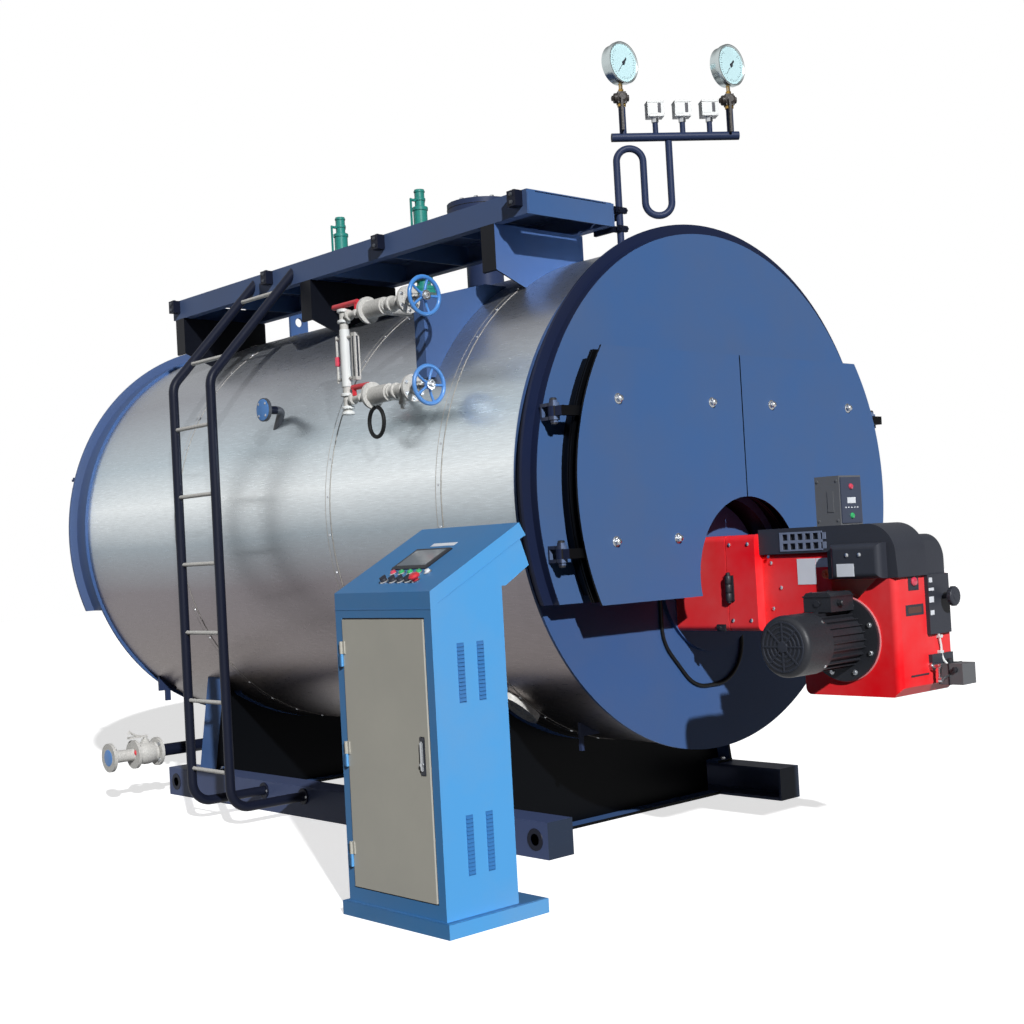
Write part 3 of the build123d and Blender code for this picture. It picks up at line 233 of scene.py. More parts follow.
def brushedCladding():
    # rolled stainless sheet, brushed around the drum; its colour by height is painted reflection and shade
    # with some
    # road dust low down: pale painted highlight bands above, a warm dull painted shade below
    material, graph, shader, coords = newMaterial("brushedStainlessSheet")
    place = coords.outputs["Object"]
    fine = addNode(graph, "ShaderNodeMapping", i0=place, Scale=(1, 0.04, 1)).outputs[0]
    long = addNode(graph, "ShaderNodeMapping", i0=place, Scale=(1, 0.35, 1)).outputs[0]
    streaks = addNode(graph, "ShaderNodeTexNoise", Vector=fine, Scale=420.0, Detail=3.0,
                      Roughness=0.6).outputs[0]
    cloud = addNode(graph, "ShaderNodeTexNoise", Vector=long, Scale=2.6, Detail=5.0, Roughness=0.6).outputs[0]
    height = addNode(graph, "ShaderNodeSeparateXYZ", i0=place).outputs["Z"]
    wander = addNode(graph, "ShaderNodeMapRange", Value=cloud, i3=-0.035, i4=0.035).outputs[0]
    level = addNode(graph, "ShaderNodeMath", i0=height, i1=wander).outputs[0]
    share = addNode(graph, "ShaderNodeMapRange", Value=level, i1=0.34, i2=2.32).outputs[0]
    # painted reflection and shade by height, with some road dust low down
    dustAndReflection = addNode(graph, "ShaderNodeValToRGB", {"stops": dustAndReflectionTones}, i0=share).outputs[0]
    mark = addNode(graph, "ShaderNodeValToRGB", {"stops": [(0.3, 0.0), (0.75, 0.28)]}, i0=streaks).outputs[0]
    tone = addNode(graph, "ShaderNodeMix", rgba, i0=mark, i6=dustAndReflection, i7=linear("#77716e"))
    gloss = addNode(graph, "ShaderNodeValToRGB", {"stops": [(0.25, 0.24), (0.75, 0.38)]}, i0=streaks)
    bump = addNode(graph, "ShaderNodeBump", Height=streaks, Strength=0.1, Distance=0.0002)
    feed(graph, shader, Base_Color=tone.outputs[2], Roughness=gloss.outputs[0], Normal=bump.outputs[0],
         Metallic=0.9, Anisotropic=0.4)
    return material


def clearGlass(name, tint, rough=0.05):
    # acrylic or glass over a print: a clear gloss with faint smears
    material, graph, shader, coords = newMaterial(name)
    smear = addNode(graph, "ShaderNodeTexNoise", Vector=coords.outputs["Object"], Scale=30.0,
                    Detail=3.0).outputs[0]
    tone = addNode(graph, "ShaderNodeMix", rgba, i0=smear, i6=linear(tint), i7=shaded(tint, 0.85))
    gloss = addNode(graph, "ShaderNodeValToRGB", {"stops": [(0.3, rough), (0.8, rough + 0.12)]}, i0=smear)
    feed(graph, shader, Base_Color=tone.outputs[2], Roughness=gloss.outputs[0], Coat_Weight=0.4)
    return material


finish = {
    "cladding": brushedCladding(),
    "boilerBlue": sprayedPaint("semiGlossEnamelBlue", "#3b5b8f"),
    # rear box: the darker blue of its inner sides is painted shade
    "rearBlue": drumPaint("semiGlossEnamelBlueRearBox", "#3f6098", "#4b618c", "#3a5078"),
    # smoke box and doors: navy rim, black frame sides and black recess lips are painted shade
    "boxBlue": drumPaint("semiGlossEnamelBlueShadedRim", "#436598", "#1a2442", "#07080b",
                         shadedLips=(boxY - 0.010, doorY + 0.005)),
    # painted shade: the saddle faces that look along Y are near black, the other faces blue
    "saddleBlue": sprayedPaint("semiGlossEnamelSaddleShadedWeb", "#07090d", dust=0.0, shine=0.06, sides="#42659c"),
    # painted shade: the skid faces that look along Y are darker than the sides
    "skidBlue": sprayedPaint("semiGlossEnamelSkidShadedEnds", "#2a3548", sides="#47557c"),
    "louvreBlue": sprayedPaint("powderCoatLouvreBlue", "#3a78b8", rough=0.45, dust=0.02),
    "grilleGrey": mouldedPlastic("mouldedAbsBlueGrey", "#79839a", rough=0.4),
    # painted highlight on the motor flange's edge
    "flangeHighlight": sprayedPaint("powderCoatPaintedHighlight", "#e58c90", rough=0.35),
    # painted shade: the hinge sides are darker than their fronts
    "hingeBlue": sprayedPaint("semiGlossEnamelHingeShadedSides", "#55698e", sides="#232c44", shine=0.4),
    "darkAnodised": mouldedPlastic("mouldedPanelGreyBlue", "#3c4356", shine=0.4),
    "pipeGrey": castMetal("steelPipeDarkPaint", "#4a4e55", rough=0.4),
    # painted shade: only the front posts' -Y faces are blue, every other face near black
    "postBlue": sprayedPaint("semiGlossEnamelBlueShadedSides", "#4466a0", litAhead=-0.1, shadeColour="#0d1019"),
    "navy": sprayedPaint("semiGlossEnamelNavy", "#293657"),
    "darkNavy": sprayedPaint("semiGlossEnamelDarkNavy", "#131829", dust=0.01),
    # painted light and shade: the channel sides have their own greyer blue
    "channelBlue": sprayedPaint("semiGlossEnamelChannelBlue", "#436496", sides="#4a5e86"),
    "burnerRed": sprayedPaint("powderCoatRed", "#fa1420", rough=0.34, dust=0.02),
    "blackPlastic": mouldedPlastic("mouldedAbsBlack", "#343740", shine=0.25),
    "blackMetal": castMetal("castAluminiumBlackPaint", "#282a30", rough=0.42, grain=0.0015),
    "blackRubber": mouldedPlastic("extrudedRubberBlack", "#0c0d0f", rough=0.55, shine=0.2),
    # painted shade: the cabinet faces that don't look along Y are a darker blue
    "cabinetBlue": sprayedPaint("powderCoatLightBlueShadedSides", "#57a6e6", rough=0.45, dust=0.02, sides="#3f7bb2"),
    "cabinetGrey": sprayedPaint("powderCoatWarmGrey", "#b7b5ab", rough=0.48, dust=0.03),
    "castValve": castMetal("castIronAluminiumPaint", "#cbcac6", rough=0.40),
    "darkCast": castMetal("castBronzeTarnished", "#2b2522", rough=0.45),
    "wheelBlue": sprayedPaint("glossEnamelWheelBlue", "#3a86d4", rough=0.30, dust=0.02, shine=0.5),
    "leverRed": mouldedPlastic("dippedVinylRed", "#cf3540", rough=0.35),
    "teal": castMetal("castIronTealEnamel", "#2a8a80", rough=0.35, grain=0.0015),
    "gaugeCase": platedSteel("polishedStainlessCase", "#c9d4d5", rough=0.22),
    "dial": mouldedPlastic("printedAluminiumDial", "#d2f5fb", rough=0.3, grain=0.0002),
    "whitePlastic": mouldedPlastic("mouldedAbsWhite", "#dfe2e2", rough=0.38),
    "controlGrey": sprayedPaint("satinPaintGrey", "#686a6e", rough=0.45),
    "zinc": platedSteel("zincPlatedSteel", "#c9ccd0"),
    "brass": platedSteel("turnedBrass", "#b08d4a"),
    # painted highlight along the cladding seams
    "seamHighlight": mouldedPlastic("paleSeamEdgeHighlight", "#b5b1aa", rough=0.45, grain=0.0005),
    "label": mouldedPlastic("vinylLabelWhite", "#dfe3ea", rough=0.5, grain=0.0003),
    "orange": mouldedPlastic("mouldedPomOrange", "#d8571c", rough=0.35),
    "pinkLamp": clearGlass("acrylicLampRed", "#e0405c"),
    "greenLamp": clearGlass("acrylicLampGreen", "#2fb36a"),
    "whiteLamp": clearGlass("acrylicLampWhite", "#e8ecf0"),
    "screen": clearGlass("screenGlassGrey", "#8d959c", rough=0.1),
    "navyPanel": mouldedPlastic("mouldedAbsNavy", "#161b2b"),
    "brownPlate": mouldedPlastic("printedPlateBrown", "#5a3a34"),
}

# which finish each CAD node wears
wears = {
    "cladding": ["clad_shell"],
    "boilerBlue": ["front_end_plate", "rear_end_plate", "burner_mount_plate", "level_chest", "lifting_lugs"],
    "rearBlue": ["rear_smoke_box"],
    "boxBlue": ["front_smoke_box", "smoke_box_door_left", "smoke_box_door_right"],
    "saddleBlue": ["saddle_front", "saddle_rear"],
    "skidBlue": ["skid_beams"],
    "postBlue": ["walkway_posts"],
    "navy": ["rear_box_clamps", "side_brackets", "siphon_pipe", "gauge_header", "steam_outlet"],
    "darkNavy": ["walkway_clips", "ladder_rails", "blowdown_pipe"],
    "channelBlue": ["walkway_frame", "walkway_deck"],
    "burnerRed": ["burner_flange_housing", "burner_body", "burner_fan_scroll"],
    "blackPlastic": ["burner_top_cover", "burner_switch_box", "burner_tail_cover", "burner_knob"],
    "blackMetal": ["burner_motor", "burner_motor_cowl", "burner_terminal_box", "cabinet_screen"],
    "blackRubber": ["burner_cable"],
    "cabinetBlue": ["cabinet_plinth", "cabinet_body", "cabinet_console", "cabinet_hinges"],
    "hingeBlue": ["door_hinges"],
    "cabinetGrey": ["cabinet_door"],
    "castValve": ["level_valves", "level_column", "blowdown_valve", "hand_hole_ring", "ladder_rungs"],
    "darkCast": ["gauge_cocks"],
    "wheelBlue": ["hand_wheel_lower", "hand_wheel_upper"],
    "leverRed": ["level_lever_lower", "level_lever_upper"],
    "teal": ["safety_valves"],
    "gaugeCase": ["pressure_gauges"],
    "whitePlastic": ["pressure_switches"],
    "controlGrey": ["burner_control_box", "burner_air_actuator"],
    "pipeGrey": ["side_nozzle"],
}
for kind, names in wears.items():
    for name in names:
        mesh = nodes[name].data
        mesh.materials.clear()
        mesh.materials.append(finish[kind])
print("materials:", len(finish))


# shapes
def at(x, y, z, axis=(0, 0, 1), turn=0):
    # place whose Z runs along axis, turned about it
    spin = Vector(axis).to_track_quat("Z", "Y").to_matrix().to_4x4()
    return Matrix.Translation((x, y, z)) @ spin @ Matrix.Rotation(math.radians(turn), 4, "Z")


def turned(shape, place, profile, sides=28):
    # a profile of (radius, height) pairs turned about the place's Z, open or closed on itself
    closed = (Vector(profile[0]) - Vector(profile[-1])).length < 1e-7
    rings = []
    for radius, height in profile[:-1] if closed else profile:
        if radius < 1e-6:
            rings.append([shape.verts.new(place @ Vector((0, 0, height)))])
            continue
        rings.append([shape.verts.new(place @ Vector((radius * math.cos(2 * math.pi * k / sides),
                                                      radius * math.sin(2 * math.pi * k / sides), height)))
                      for k in range(sides)])
    for first, second in zip(rings, rings[1:] + rings[:1] if closed else rings[1:]):
        for k in range(sides):
            corners = [first[k % len(first)], first[(k + 1) % len(first)],
                       second[(k + 1) % len(second)], second[k % len(second)]]
            unique = list(dict.fromkeys(corners))
            if len(unique) > 2:
                shape.faces.new(unique)
    for ring, flip in ((rings[0], True), (rings[-1], False)):
        if len(ring) > 2 and not closed:
            shape.faces.new(list(reversed(ring)) if flip else ring)


def block(shape, low, high, edge=0.001, place=Matrix.Identity(4)):
    # a box with its edges eased
    size = [b - a for a, b in zip(low, high)]
    middle = [(a + b) / 2 for a, b in zip(low, high)]
    made = bmesh.ops.create_cube(shape, size=1.0)["verts"]
    bmesh.ops.scale(shape, vec=size, verts=made)
    bmesh.ops.translate(shape, vec=middle, verts=made)
    if edge:
        edges = list({e for v in made for e in v.link_edges})
        made = bmesh.ops.bevel(shape, geom=edges, offset=edge, segments=2, affect="EDGES")["verts"]
        made = list({v for v in made})
        seen, queue = set(made), list(made)
        while queue:
            for e in queue.pop().link_edges:
                for v in e.verts:
                    if v not in seen:
                        seen.add(v)
                        queue.append(v)
        made = list(seen)
    bmesh.ops.transform(shape, matrix=place, verts=made)


def tube(shape, points, radius, sides=12):
    # a round bar along points
    points = [Vector(p) for p in points]
    side = Vector((0, 0, 1)).cross(points[1] - points[0])
    side = side if side.length > 1e-6 else Vector((1, 0, 0))
    rings = []
    for k, point in enumerate(points):
        ahead = (points[min(k + 1, len(points) - 1)] - points[max(k - 1, 0)]).normalized()
        side = (side - side.dot(ahead) * ahead).normalized()
        other = ahead.cross(side)
        rings.append([shape.verts.new(point + radius * (math.cos(a) * side + math.sin(a) * other))
                      for a in (2 * math.pi * j / sides for j in range(sides))])
    for first, second in zip(rings, rings[1:]):
        for k in range(sides):
            shape.faces.new((first[k], first[(k + 1) % sides], second[(k + 1) % sides], second[k]))
    shape.faces.new(list(reversed(rings[0])))
    shape.faces.new(rings[-1])


def bolt(shape, place, size):
    # washer and hexagon head for a shank of this diameter
    turned(shape, place, [(size * 1.05, 0), (size * 1.05, size * 0.14), (size * 0.7, size * 0.16)], 20)
    turned(shape, place @ Matrix.Translation((0, 0, size * 0.14)),
           [(size * 0.88, 0), (size * 0.88, size * 0.55), (size * 0.74, size * 0.66)], 6)


def arc(centre, radius, start, end, steps, first=(1, 0, 0), second=(0, 0, 1)):
    first, second = Vector(first), Vector(second)
    return [Vector(centre) + radius * (math.cos(math.radians(a)) * first + math.sin(math.radians(a)) * second)
            for a in (start + (end - start) * k / steps for k in range(steps + 1))]


def addPiece(name, draw, look, body="boiler", replaces=(), **sizes):
    # draws a piece into an empty shape and lets it ride its body
    shape = bmesh.new()
    draw(shape, **sizes)
    bmesh.ops.recalc_face_normals(shape, faces=shape.faces)
    mesh = bpy.data.meshes.new(name)
    shape.to_mesh(mesh)
    shape.free()
    mesh.materials.append(finish[look])
    mesh.shade_smooth()
    mesh.set_sharp_from_angle(angle=math.radians(38))
    piece = bpy.data.objects.new(name, mesh)
    bpy.context.collection.objects.link(piece)
    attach(piece, body)
    for node in replaces:
        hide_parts(node)
    return piece


# doors
studs = {"innerLow": 0.415, "outerLow": 0.740, "innerHigh": 0.180, "outerHigh": 0.690, "low": 1.153,
         "high": 1.655, "washer": 0.019, "nut": 0.0145, "height": 0.022}


def doorNuts(shape, side):
    for across, height in (("innerLow", "low"), ("outerLow", "low"), ("innerHigh", "high"),
                           ("outerHigh", "high")):
        place = at(side * studs[across], doorY, studs[height], (0, -1, 0))
        w, n, h = studs["washer"], studs["nut"], studs["height"]
        turned(shape, place, [(w, 0), (w, 0.002), (w * 0.9, 0.003)])
        turned(shape, place, [(n, 0.003), (n, h * 0.5), (n * 0.9, h * 0.55)], 6)
        turned(shape, place, [(n * 0.88, h * 0.5), (n * 0.8, h * 0.75), (n * 0.5, h * 0.93), (0, h)])


addPiece("doorNutsLeft", doorNuts, "zinc", "door_left", side=-1)
addPiece("doorNutsRight", doorNuts, "zinc", "door_right", side=1)

hinge = {"x": 0.948, "y": -0.767, "heights": (1.12, 1.61), "reach": 0.038}


def hingePinCaps(shape):
    for side in (-1, 1):
        for z in hinge["heights"]:
            for way in (1, -1):
                turned(shape, at(side * hinge["x"], hinge["y"], z + way * hinge["reach"], (0, 0, way)),
                       [(0.0125, 0), (0.0125, 0.006), (0.009, 0.009), (0, 0.0095)])


# burner
grille = {"y": (-1.300, -1.115), "z": (1.084, 1.152), "pitch": 0.033, "firstY": -1.139, "firstZ": 1.101,
          "hole": 0.022}


def grilleFrame(shape):
    # raised bars between the square holes, paler than the cover
    face, out = coverX, coverX - 0.003
    y0, y1 = grille["y"]
    z0, z1 = grille["z"]
    half = grille["hole"] / 2
    rows = [grille["firstZ"] + k * grille["pitch"] for k in range(2)]
    columns = [grille["firstY"] - k * grille["pitch"] for k in range(6)]
    edges = [z0] + [z for row in rows for z in (row - half, row + half)] + [z1]
    for low, high in zip(edges[::2], edges[1::2]):
        block(shape, (out, y0, low), (face, y1, high), 0.0006)
    edges = [y1] + [y for column in columns for y in (column + half, column - half)] + [y0]
    for high, low in zip(edges[::2], edges[1::2]):
        for row in rows:
            block(shape, (out, low, row - half - 0.001), (face, high, row + half + 0.001), 0.0006)


motor = {"y": -1.365, "z": 0.775, "flangeX": -0.206, "flangeR": 0.145, "tipX": -0.538, "cowlR": 0.1033,
         "boltR": 0.124}


def motorFlangeBolts(shape):
    for k in range(8):
        a = math.radians(22.5 + 45 * k)
        y, z = motor["y"] + motor["boltR"] * math.cos(a), motor["z"] + motor["boltR"] * math.sin(a)
        bolt(shape, at(motor["flangeX"], y, z, (-1, 0, 0)), 0.009)


def motorFlangeHighlight(shape):
    # painted highlight: a pale pink ring on the fan flange's edge for the light it catches
    place = at(-0.190, motor["y"], motor["z"], (-1, 0, 0))
    r = motor["flangeR"]
    turned(shape, place, [(r, 0.001), (r + 0.004, 0.001), (r + 0.004, 0.004), (r, 0.005), (r, 0.001)], 72)


def motorCowlGrille(shape):
    # pressed air intake at the cowl's end: rings, ribs and a raised middle
    place = at(motor["tipX"], motor["y"], motor["z"], (-1, 0, 0))
    for r in (0.030, 0.046, 0.062, 0.078):
        turned(shape, place, [(r, -0.001), (r + 0.001, 0.0025), (r + 0.006, 0.0025), (r + 0.007, -0.001)], 48)
    for k in range(8):
        block(shape, (0.012, -0.003, -0.002), (0.084, 0.003, 0.004), 0.0008,
              place @ Matrix.Rotation(math.pi * k / 4, 4, "Z"))
    turned(shape, place, [(0.020, -0.001), (0.018, 0.005), (0, 0.006)], 32)


def motorCowlScrews(shape):
    for angle in (45, 135, 225, 315):
        a = math.radians(angle)
        out = (0, math.cos(a), math.sin(a))
        r = motor["cowlR"]
        turned(shape, at(-0.412, motor["y"] + r * out[1], motor["z"] + r * out[2], out),
               [(0.0065, -0.001), (0.0065, 0.002), (0.004, 0.0035), (0, 0.0036)], 16)


terminal = {"x": (-0.336, -0.206), "y": (-1.421, -1.309), "z": (0.875, 0.941)}


def terminalBoxLid(shape):
    x0, x1 = terminal["x"]
    y0, y1 = terminal["y"]
    z0, z1 = terminal["z"]
    block(shape, (x0 - 0.004, y0 - 0.004, z1 - 0.016), (x1, y1 + 0.004, z1 - 0.011), 0.0015)
    for x in (x0 + 0.014, x1 - 0.014):
        for y in (y0 + 0.022, y1 - 0.022):
            turned(shape, at(x, y, z1), [(0.005, -0.001), (0.005, 0.002), (0, 0.003)], 16)
    turned(shape, at(x0 + 0.045, y0, 0.905, (0, -1, 0)), [(0.013, -0.002), (0.013, 0.008)], 6)
    turned(shape, at(x0 + 0.045, y0, 0.905, (0, -1, 0)),
           [(0.010, 0.008), (0.010, 0.017), (0.007, 0.020), (0.004, 0.020)], 20)
    turned(shape, at(x0, y0 + 0.055, 0.905, (-1, 0, 0)), [(0.012, -0.002), (0.012, 0.006)], 6)


plates = {"bodyX": -0.178, "switchX": -0.240, "housingX": -0.220}


def burnerLabels(shape):
    x = plates["bodyX"]
    block(shape, (x - 0.0012, -1.254, 0.964), (x + 0.001, -1.174, 1.056), 0.0004)
    block(shape, (x - 0.0012, -1.309, 1.024), (x + 0.001, -1.256, 1.056), 0.0004)
    x = plates["switchX"]
    block(shape, (x - 0.0012, -1.455, 0.990), (x + 0.001, -1.385, 1.034), 0.0004)


def burnerScrews(shape):
    spots = [(plates["housingX"], y, z) for y in (-0.905, -0.990) for z in (0.840, 1.118)]
    spots += [(plates["bodyX"], -1.060, 0.880), (plates["bodyX"], -1.060, 1.045),
              (plates["switchX"], -1.43, 1.063), (plates["switchX"], -1.480, 1.063),
              (plates["bodyX"], -1.100, 0.955)]
    for x, y, z in spots:
        turned(shape, at(x, y, z, (-1, 0, 0)),
               [(0.007, -0.001), (0.007, 0.003), (0.004, 0.005), (0, 0.0052)], 18)
    turned(shape, at(0.006, scrollY, 0.962, (0, -1, 0)), [(0.005, -0.001), (0.005, 0.002), (0, 0.003)], 16)


def housingHinge(shape):
    # pivot pin and clamp on which the burner's halves swing apart
    x = plates["housingX"] - 0.008
    turned(shape, at(x, -0.897, 0.905), [(0.008, 0), (0.008, 0.110), (0.006, 0.112), (0, 0.112)], 20)
    for z in (0.912, 0.944, 0.976):
        turned(shape, at(x, -0.897, z), [(0.012, 0), (0.013, 0.002), (0.013, 0.026), (0.012, 0.028)], 24)
    block(shape, (x + 0.002, -0.916, 0.910), (x + 0.009, -0.878, 1.006), 0.001)
    block(shape, (x - 0.002, -0.870, 0.800), (x + 0.009, -0.830, 0.826), 0.002)
    bolt(shape, at(x - 0.002, -0.850, 0.813, (-1, 0, 0)), 0.008)


def burnerTestPlug(shape):
    # small orange test plug beside the switch box
    place = at(plates["bodyX"], -1.299, 0.999, (-1, 0, 0))
    turned(shape, place,
           [(0.015, -0.001), (0.016, 0.002), (0.016, 0.008), (0.013, 0.010), (0.009, 0.010), (0.009, 0.006),
            (0.005, 0.006), (0.004, 0.014), (0, 0.0145)], 28)


def scrollFrontRecessShades(shape):
    # painted shade: black sheets on the scroll's front face that stand for the lamp recess and the slots
    y = scrollY
    block(shape, (-0.115, y - 0.0015, 0.932), (-0.052, y + 0.001, 0.987), 0.0006)
    block(shape, (-0.138, y - 0.0015, 0.847), (-0.030, y + 0.001, 0.884), 0.0006)
    block(shape, (-0.128, y - 0.002, 0.640), (-0.020, y + 0.001, 0.646), 0.0006)


def scrollFrontLamp(shape):
    turned(shape, at(-0.083, scrollY - 0.0015, 0.962, (0, -1, 0)),
           [(0.016, 0), (0.016, 0.004), (0.012, 0.009), (0, 0.011)])


def scrollFrontPlate(shape):
    block(shape, (-0.126, scrollY - 0.0025, 0.855), (-0.044, scrollY, 0.876), 0.0004)


def tailCoverMarks(shape):
    y = scrollY - 0.014
    for x, z, w, h in ((0.002, 0.962, 0.010, 0.008), (0.004, 0.930, 0.016, 0.005),
                       (0.002, 0.895, 0.014, 0.010), (0.003, 0.850, 0.012, 0.008)):
        block(shape, (x - w, y - 0.0012, z - h), (x + w, y + 0.001, z + h), 0.0003)


knob = {"x": 0.077, "z": 0.902, "face": -1.645}


def knobRibs(shape):
    for k in range(18):
        place = at(knob["x"], knob["face"] + 0.010, knob["z"], (0, -1, 0), 20 * k)
        block(shape, (0.0315, -0.0016, -0.007), (0.0345, 0.0016, 0.007), 0.0005, place)
    turned(shape, at(knob["x"], knob["face"], knob["z"], (0, -1, 0)),
           [(0.016, -0.0005), (0.015, 0.0012), (0, 0.0014)])


actuator = {"x": (0.040, 0.124), "y": (-1.674, -1.581), "z": (0.600, 0.672)}


def actuatorLid(shape):
    x0, x1 = actuator["x"]
    y0, y1 = actuator["y"]
    z0, z1 = actuator["z"]
    block(shape, (x0 - 0.002, y0 + 0.050, z0 - 0.002), (x1 + 0.002, y0 + 0.054, z1 + 0.002), 0.001)
    turned(shape, at(x0, y0 + 0.026, z1 - 0.020, (-1, 0, 0)),
           [(0.010, -0.001), (0.010, 0.010), (0.007, 0.012)], 6)
    turned(shape, at(x0 + 0.03, y1 - 0.03, z1), [(0.011, -0.001), (0.011, 0.014), (0.006, 0.016)], 20)


def actuatorLinkage(shape):
    # damper shaft, arm and rod in front of the air intake
    y = scrollY
    turned(shape, at(-0.004, y, 0.668, (0, -1, 0)),
           [(0.016, -0.001), (0.016, 0.012), (0.008, 0.014), (0.008, 0.040), (0, 0.041)])
    block(shape, (-0.012, y - 0.036, 0.618), (0.004, y - 0.030, 0.676), 0.002)
    turned(shape, at(-0.004, y - 0.030, 0.622, (0, -1, 0)), [(0.009, -0.001), (0.009, 0.012), (0, 0.013)])
    tube(shape, [(-0.004, y - 0.040, 0.622), (0.044, y - 0.044, 0.636)], 0.004)


def actuatorLead(shape):
    # short white lead clipped to the fan's front face, from the front strip to the actuator
    y = scrollY - 0.006
    tube(shape,
         [(0.030, y, 0.790), (0.044, y - 0.002, 0.770), (0.052, y - 0.003, 0.735), (0.052, y - 0.004, 0.700),
          (0.054, y - 0.010, 0.682), (0.056, y - 0.022, 0.668)], 0.0045, 12)
    for z in (0.765, 0.712):
        block(shape, (0.040, y - 0.0085, z - 0.005), (0.060, y + 0.006, z + 0.005), 0.001)


control = {"x": (-0.060, 0.076), "y": (-1.288, -1.184), "z": (1.167, 1.345)}


def controlPanel(shape):
    x0, x1 = control["x"]
    y0 = control["y"][0]
    z0, z1 = control["z"]
    block(shape, (x0 + 0.006, y0 - 0.004, z0 + 0.006), (x1 - 0.006, y0 + 0.001, z1 - 0.006), 0.0012)


def controlLabel(shape):
    y = control["y"][0] - 0.0045
    block(shape, (-0.018, y - 0.0004, 1.245), (0.032, y + 0.001, 1.266), 0.0003)
    for x in (-0.030, -0.012, 0.006, 0.024, 0.042):
        block(shape, (x - 0.004, y - 0.0004, 1.228), (x + 0.004, y + 0.001, 1.232), 0.0002)


def controlLamp(shape, z):
    turned(shape, at(0.006, control["y"][0] - 0.0035, z, (0, -1, 0)),
           [(0.011, 0), (0.011, 0.003), (0.008, 0.007), (0, 0.009)])


def controlSideScrews(shape):
    x = control["x"][0]
    for z in (1.185, 1.327):
        for y in (-1.278, -1.196):
            turned(shape, at(x, y, z, (-1, 0, 0)), [(0.0045, -0.0005), (0.0045, 0.002), (0, 0.0025)], 14)
    block(shape, (x - 0.0015, -1.262, 1.215), (x + 0.001, -1.236, 1.290), 0.0006)


def coverScrews(shape):
    # the two screws that hold the moulded cover
    for y, z in ((-1.06, 1.068), (-1.34, 1.072)):
        turned(shape, at(coverX, y, z, (-1, 0, 0)), [(0.006, -0.001), (0.006, 0.0015), (0, 0.002)], 16)


addPiece("hingePinCaps", hingePinCaps, "blackMetal")
addPiece("grilleFrame", grilleFrame, "grilleGrey")
addPiece("motorFlangeBolts", motorFlangeBolts, "zinc")
addPiece("motorFlangeHighlight", motorFlangeHighlight, "flangeHighlight")
addPiece("motorCowlGrille", motorCowlGrille, "blackPlastic")
addPiece("motorCowlScrews", motorCowlScrews, "zinc")
addPiece("terminalBoxLid", terminalBoxLid, "blackMetal")
addPiece("burnerLabels", burnerLabels, "label")
addPiece("burnerScrews", burnerScrews, "zinc")
addPiece("housingHinge", housingHinge, "blackMetal")
addPiece("burnerTestPlug", burnerTestPlug, "orange")
addPiece("scrollFrontRecessShades", scrollFrontRecessShades, "blackPlastic")
addPiece("scrollFrontLamp", scrollFrontLamp, "pinkLamp")
addPiece("scrollFrontPlate", scrollFrontPlate, "brownPlate")
addPiece("tailCoverMarks", tailCoverMarks, "label")
addPiece("knobRibs", knobRibs, "blackPlastic")
addPiece("actuatorLid", actuatorLid, "blackMetal")
addPiece("actuatorLinkage", actuatorLinkage, "zinc")
addPiece("actuatorLead", actuatorLead, "whitePlastic")
addPiece("controlPanel", controlPanel, "darkAnodised")
addPiece("controlLabel", controlLabel, "label")
addPiece("controlRedLamp", controlLamp, "pinkLamp", z=1.305)
addPiece("controlGreenLamp", controlLamp, "greenLamp", z=1.200)
addPiece("controlSideScrews", controlSideScrews, "controlGrey")
addPiece("coverScrews", coverScrews, "zinc")
print("burner dressed")


# gauge tree
treePlace = Matrix.Translation((tree["x"], tree["y"], 0)) @ Matrix.Rotation(math.radians(tree["turn"]), 4,
                                                                            "Z")
gauges = {"left": (0.034, 2.890), "right": (0.474, 2.875), "stem": 0.034, "radius": 0.080, "bezel": 0.084,
          "depth": 0.042, "cock": 0.046}


def gaugeSpot(side):
    along, top = gauges[side]
    x, y, z = treePlace @ Vector((along, 0, top + gauges["cock"] + gauges["stem"] + gauges["radius"]))
    return x, y - gauges["depth"] / 2, z


def gaugeBezels(shape):
    for side in ("left", "right"):
        place = at(*gaugeSpot(side), (0, -1, 0))
        r = gauges["bezel"]
        turned(shape, place, [(r - 0.010, -0.004), (r - 0.010, 0.002), (r - 0.006, 0.006), (r - 0.002, 0.005),
                              (r + 0.0006, 0.001), (r + 0.0006, -0.013), (r - 0.001, -0.0145)], 56)


def gaugeDials(shape):
    for side in ("left", "right"):
        turned(shape, at(*gaugeSpot(side), (0, -1, 0)),
               [(gauges["bezel"] - 0.009, -0.001), (gauges["bezel"] - 0.009, 0.0008)], 56)


def gaugeMarks(shape):
    for side in ("left", "right"):
        x, y, z = gaugeSpot(side)
        for k in range(31):
            a = math.radians(-45 + 270 * k / 30)
            reach = 0.012 if k % 5 == 0 else 0.007
            place = Matrix.Translation((x, y - 0.0010, z)) @ Matrix.Rotation(-a, 4, "Y")
            block(shape, (-0.066, -0.0004, -0.0006), (-0.066 + reach, 0.0004, 0.0006), 0, place)
        point = Matrix.Translation((x, y - 0.0022, z)) @ Matrix.Rotation(math.radians(-52), 4, "Y")
        block(shape, (-0.052, -0.0006, -0.0009), (0.022, 0.0006, 0.0009), 0, point)
        turned(shape, at(x, y, z, (0, -1, 0)), [(0.0075, 0), (0.0075, 0.004), (0.005, 0.0055), (0, 0.0058)],
               24)
        block(shape, (0.010, -0.0012, -0.004), (0.026, 0.0006, 0.004), 0.0003,
              Matrix.Translation((x, y - 0.0022, z)) @ Matrix.Rotation(math.radians(-52), 4, "Y"))


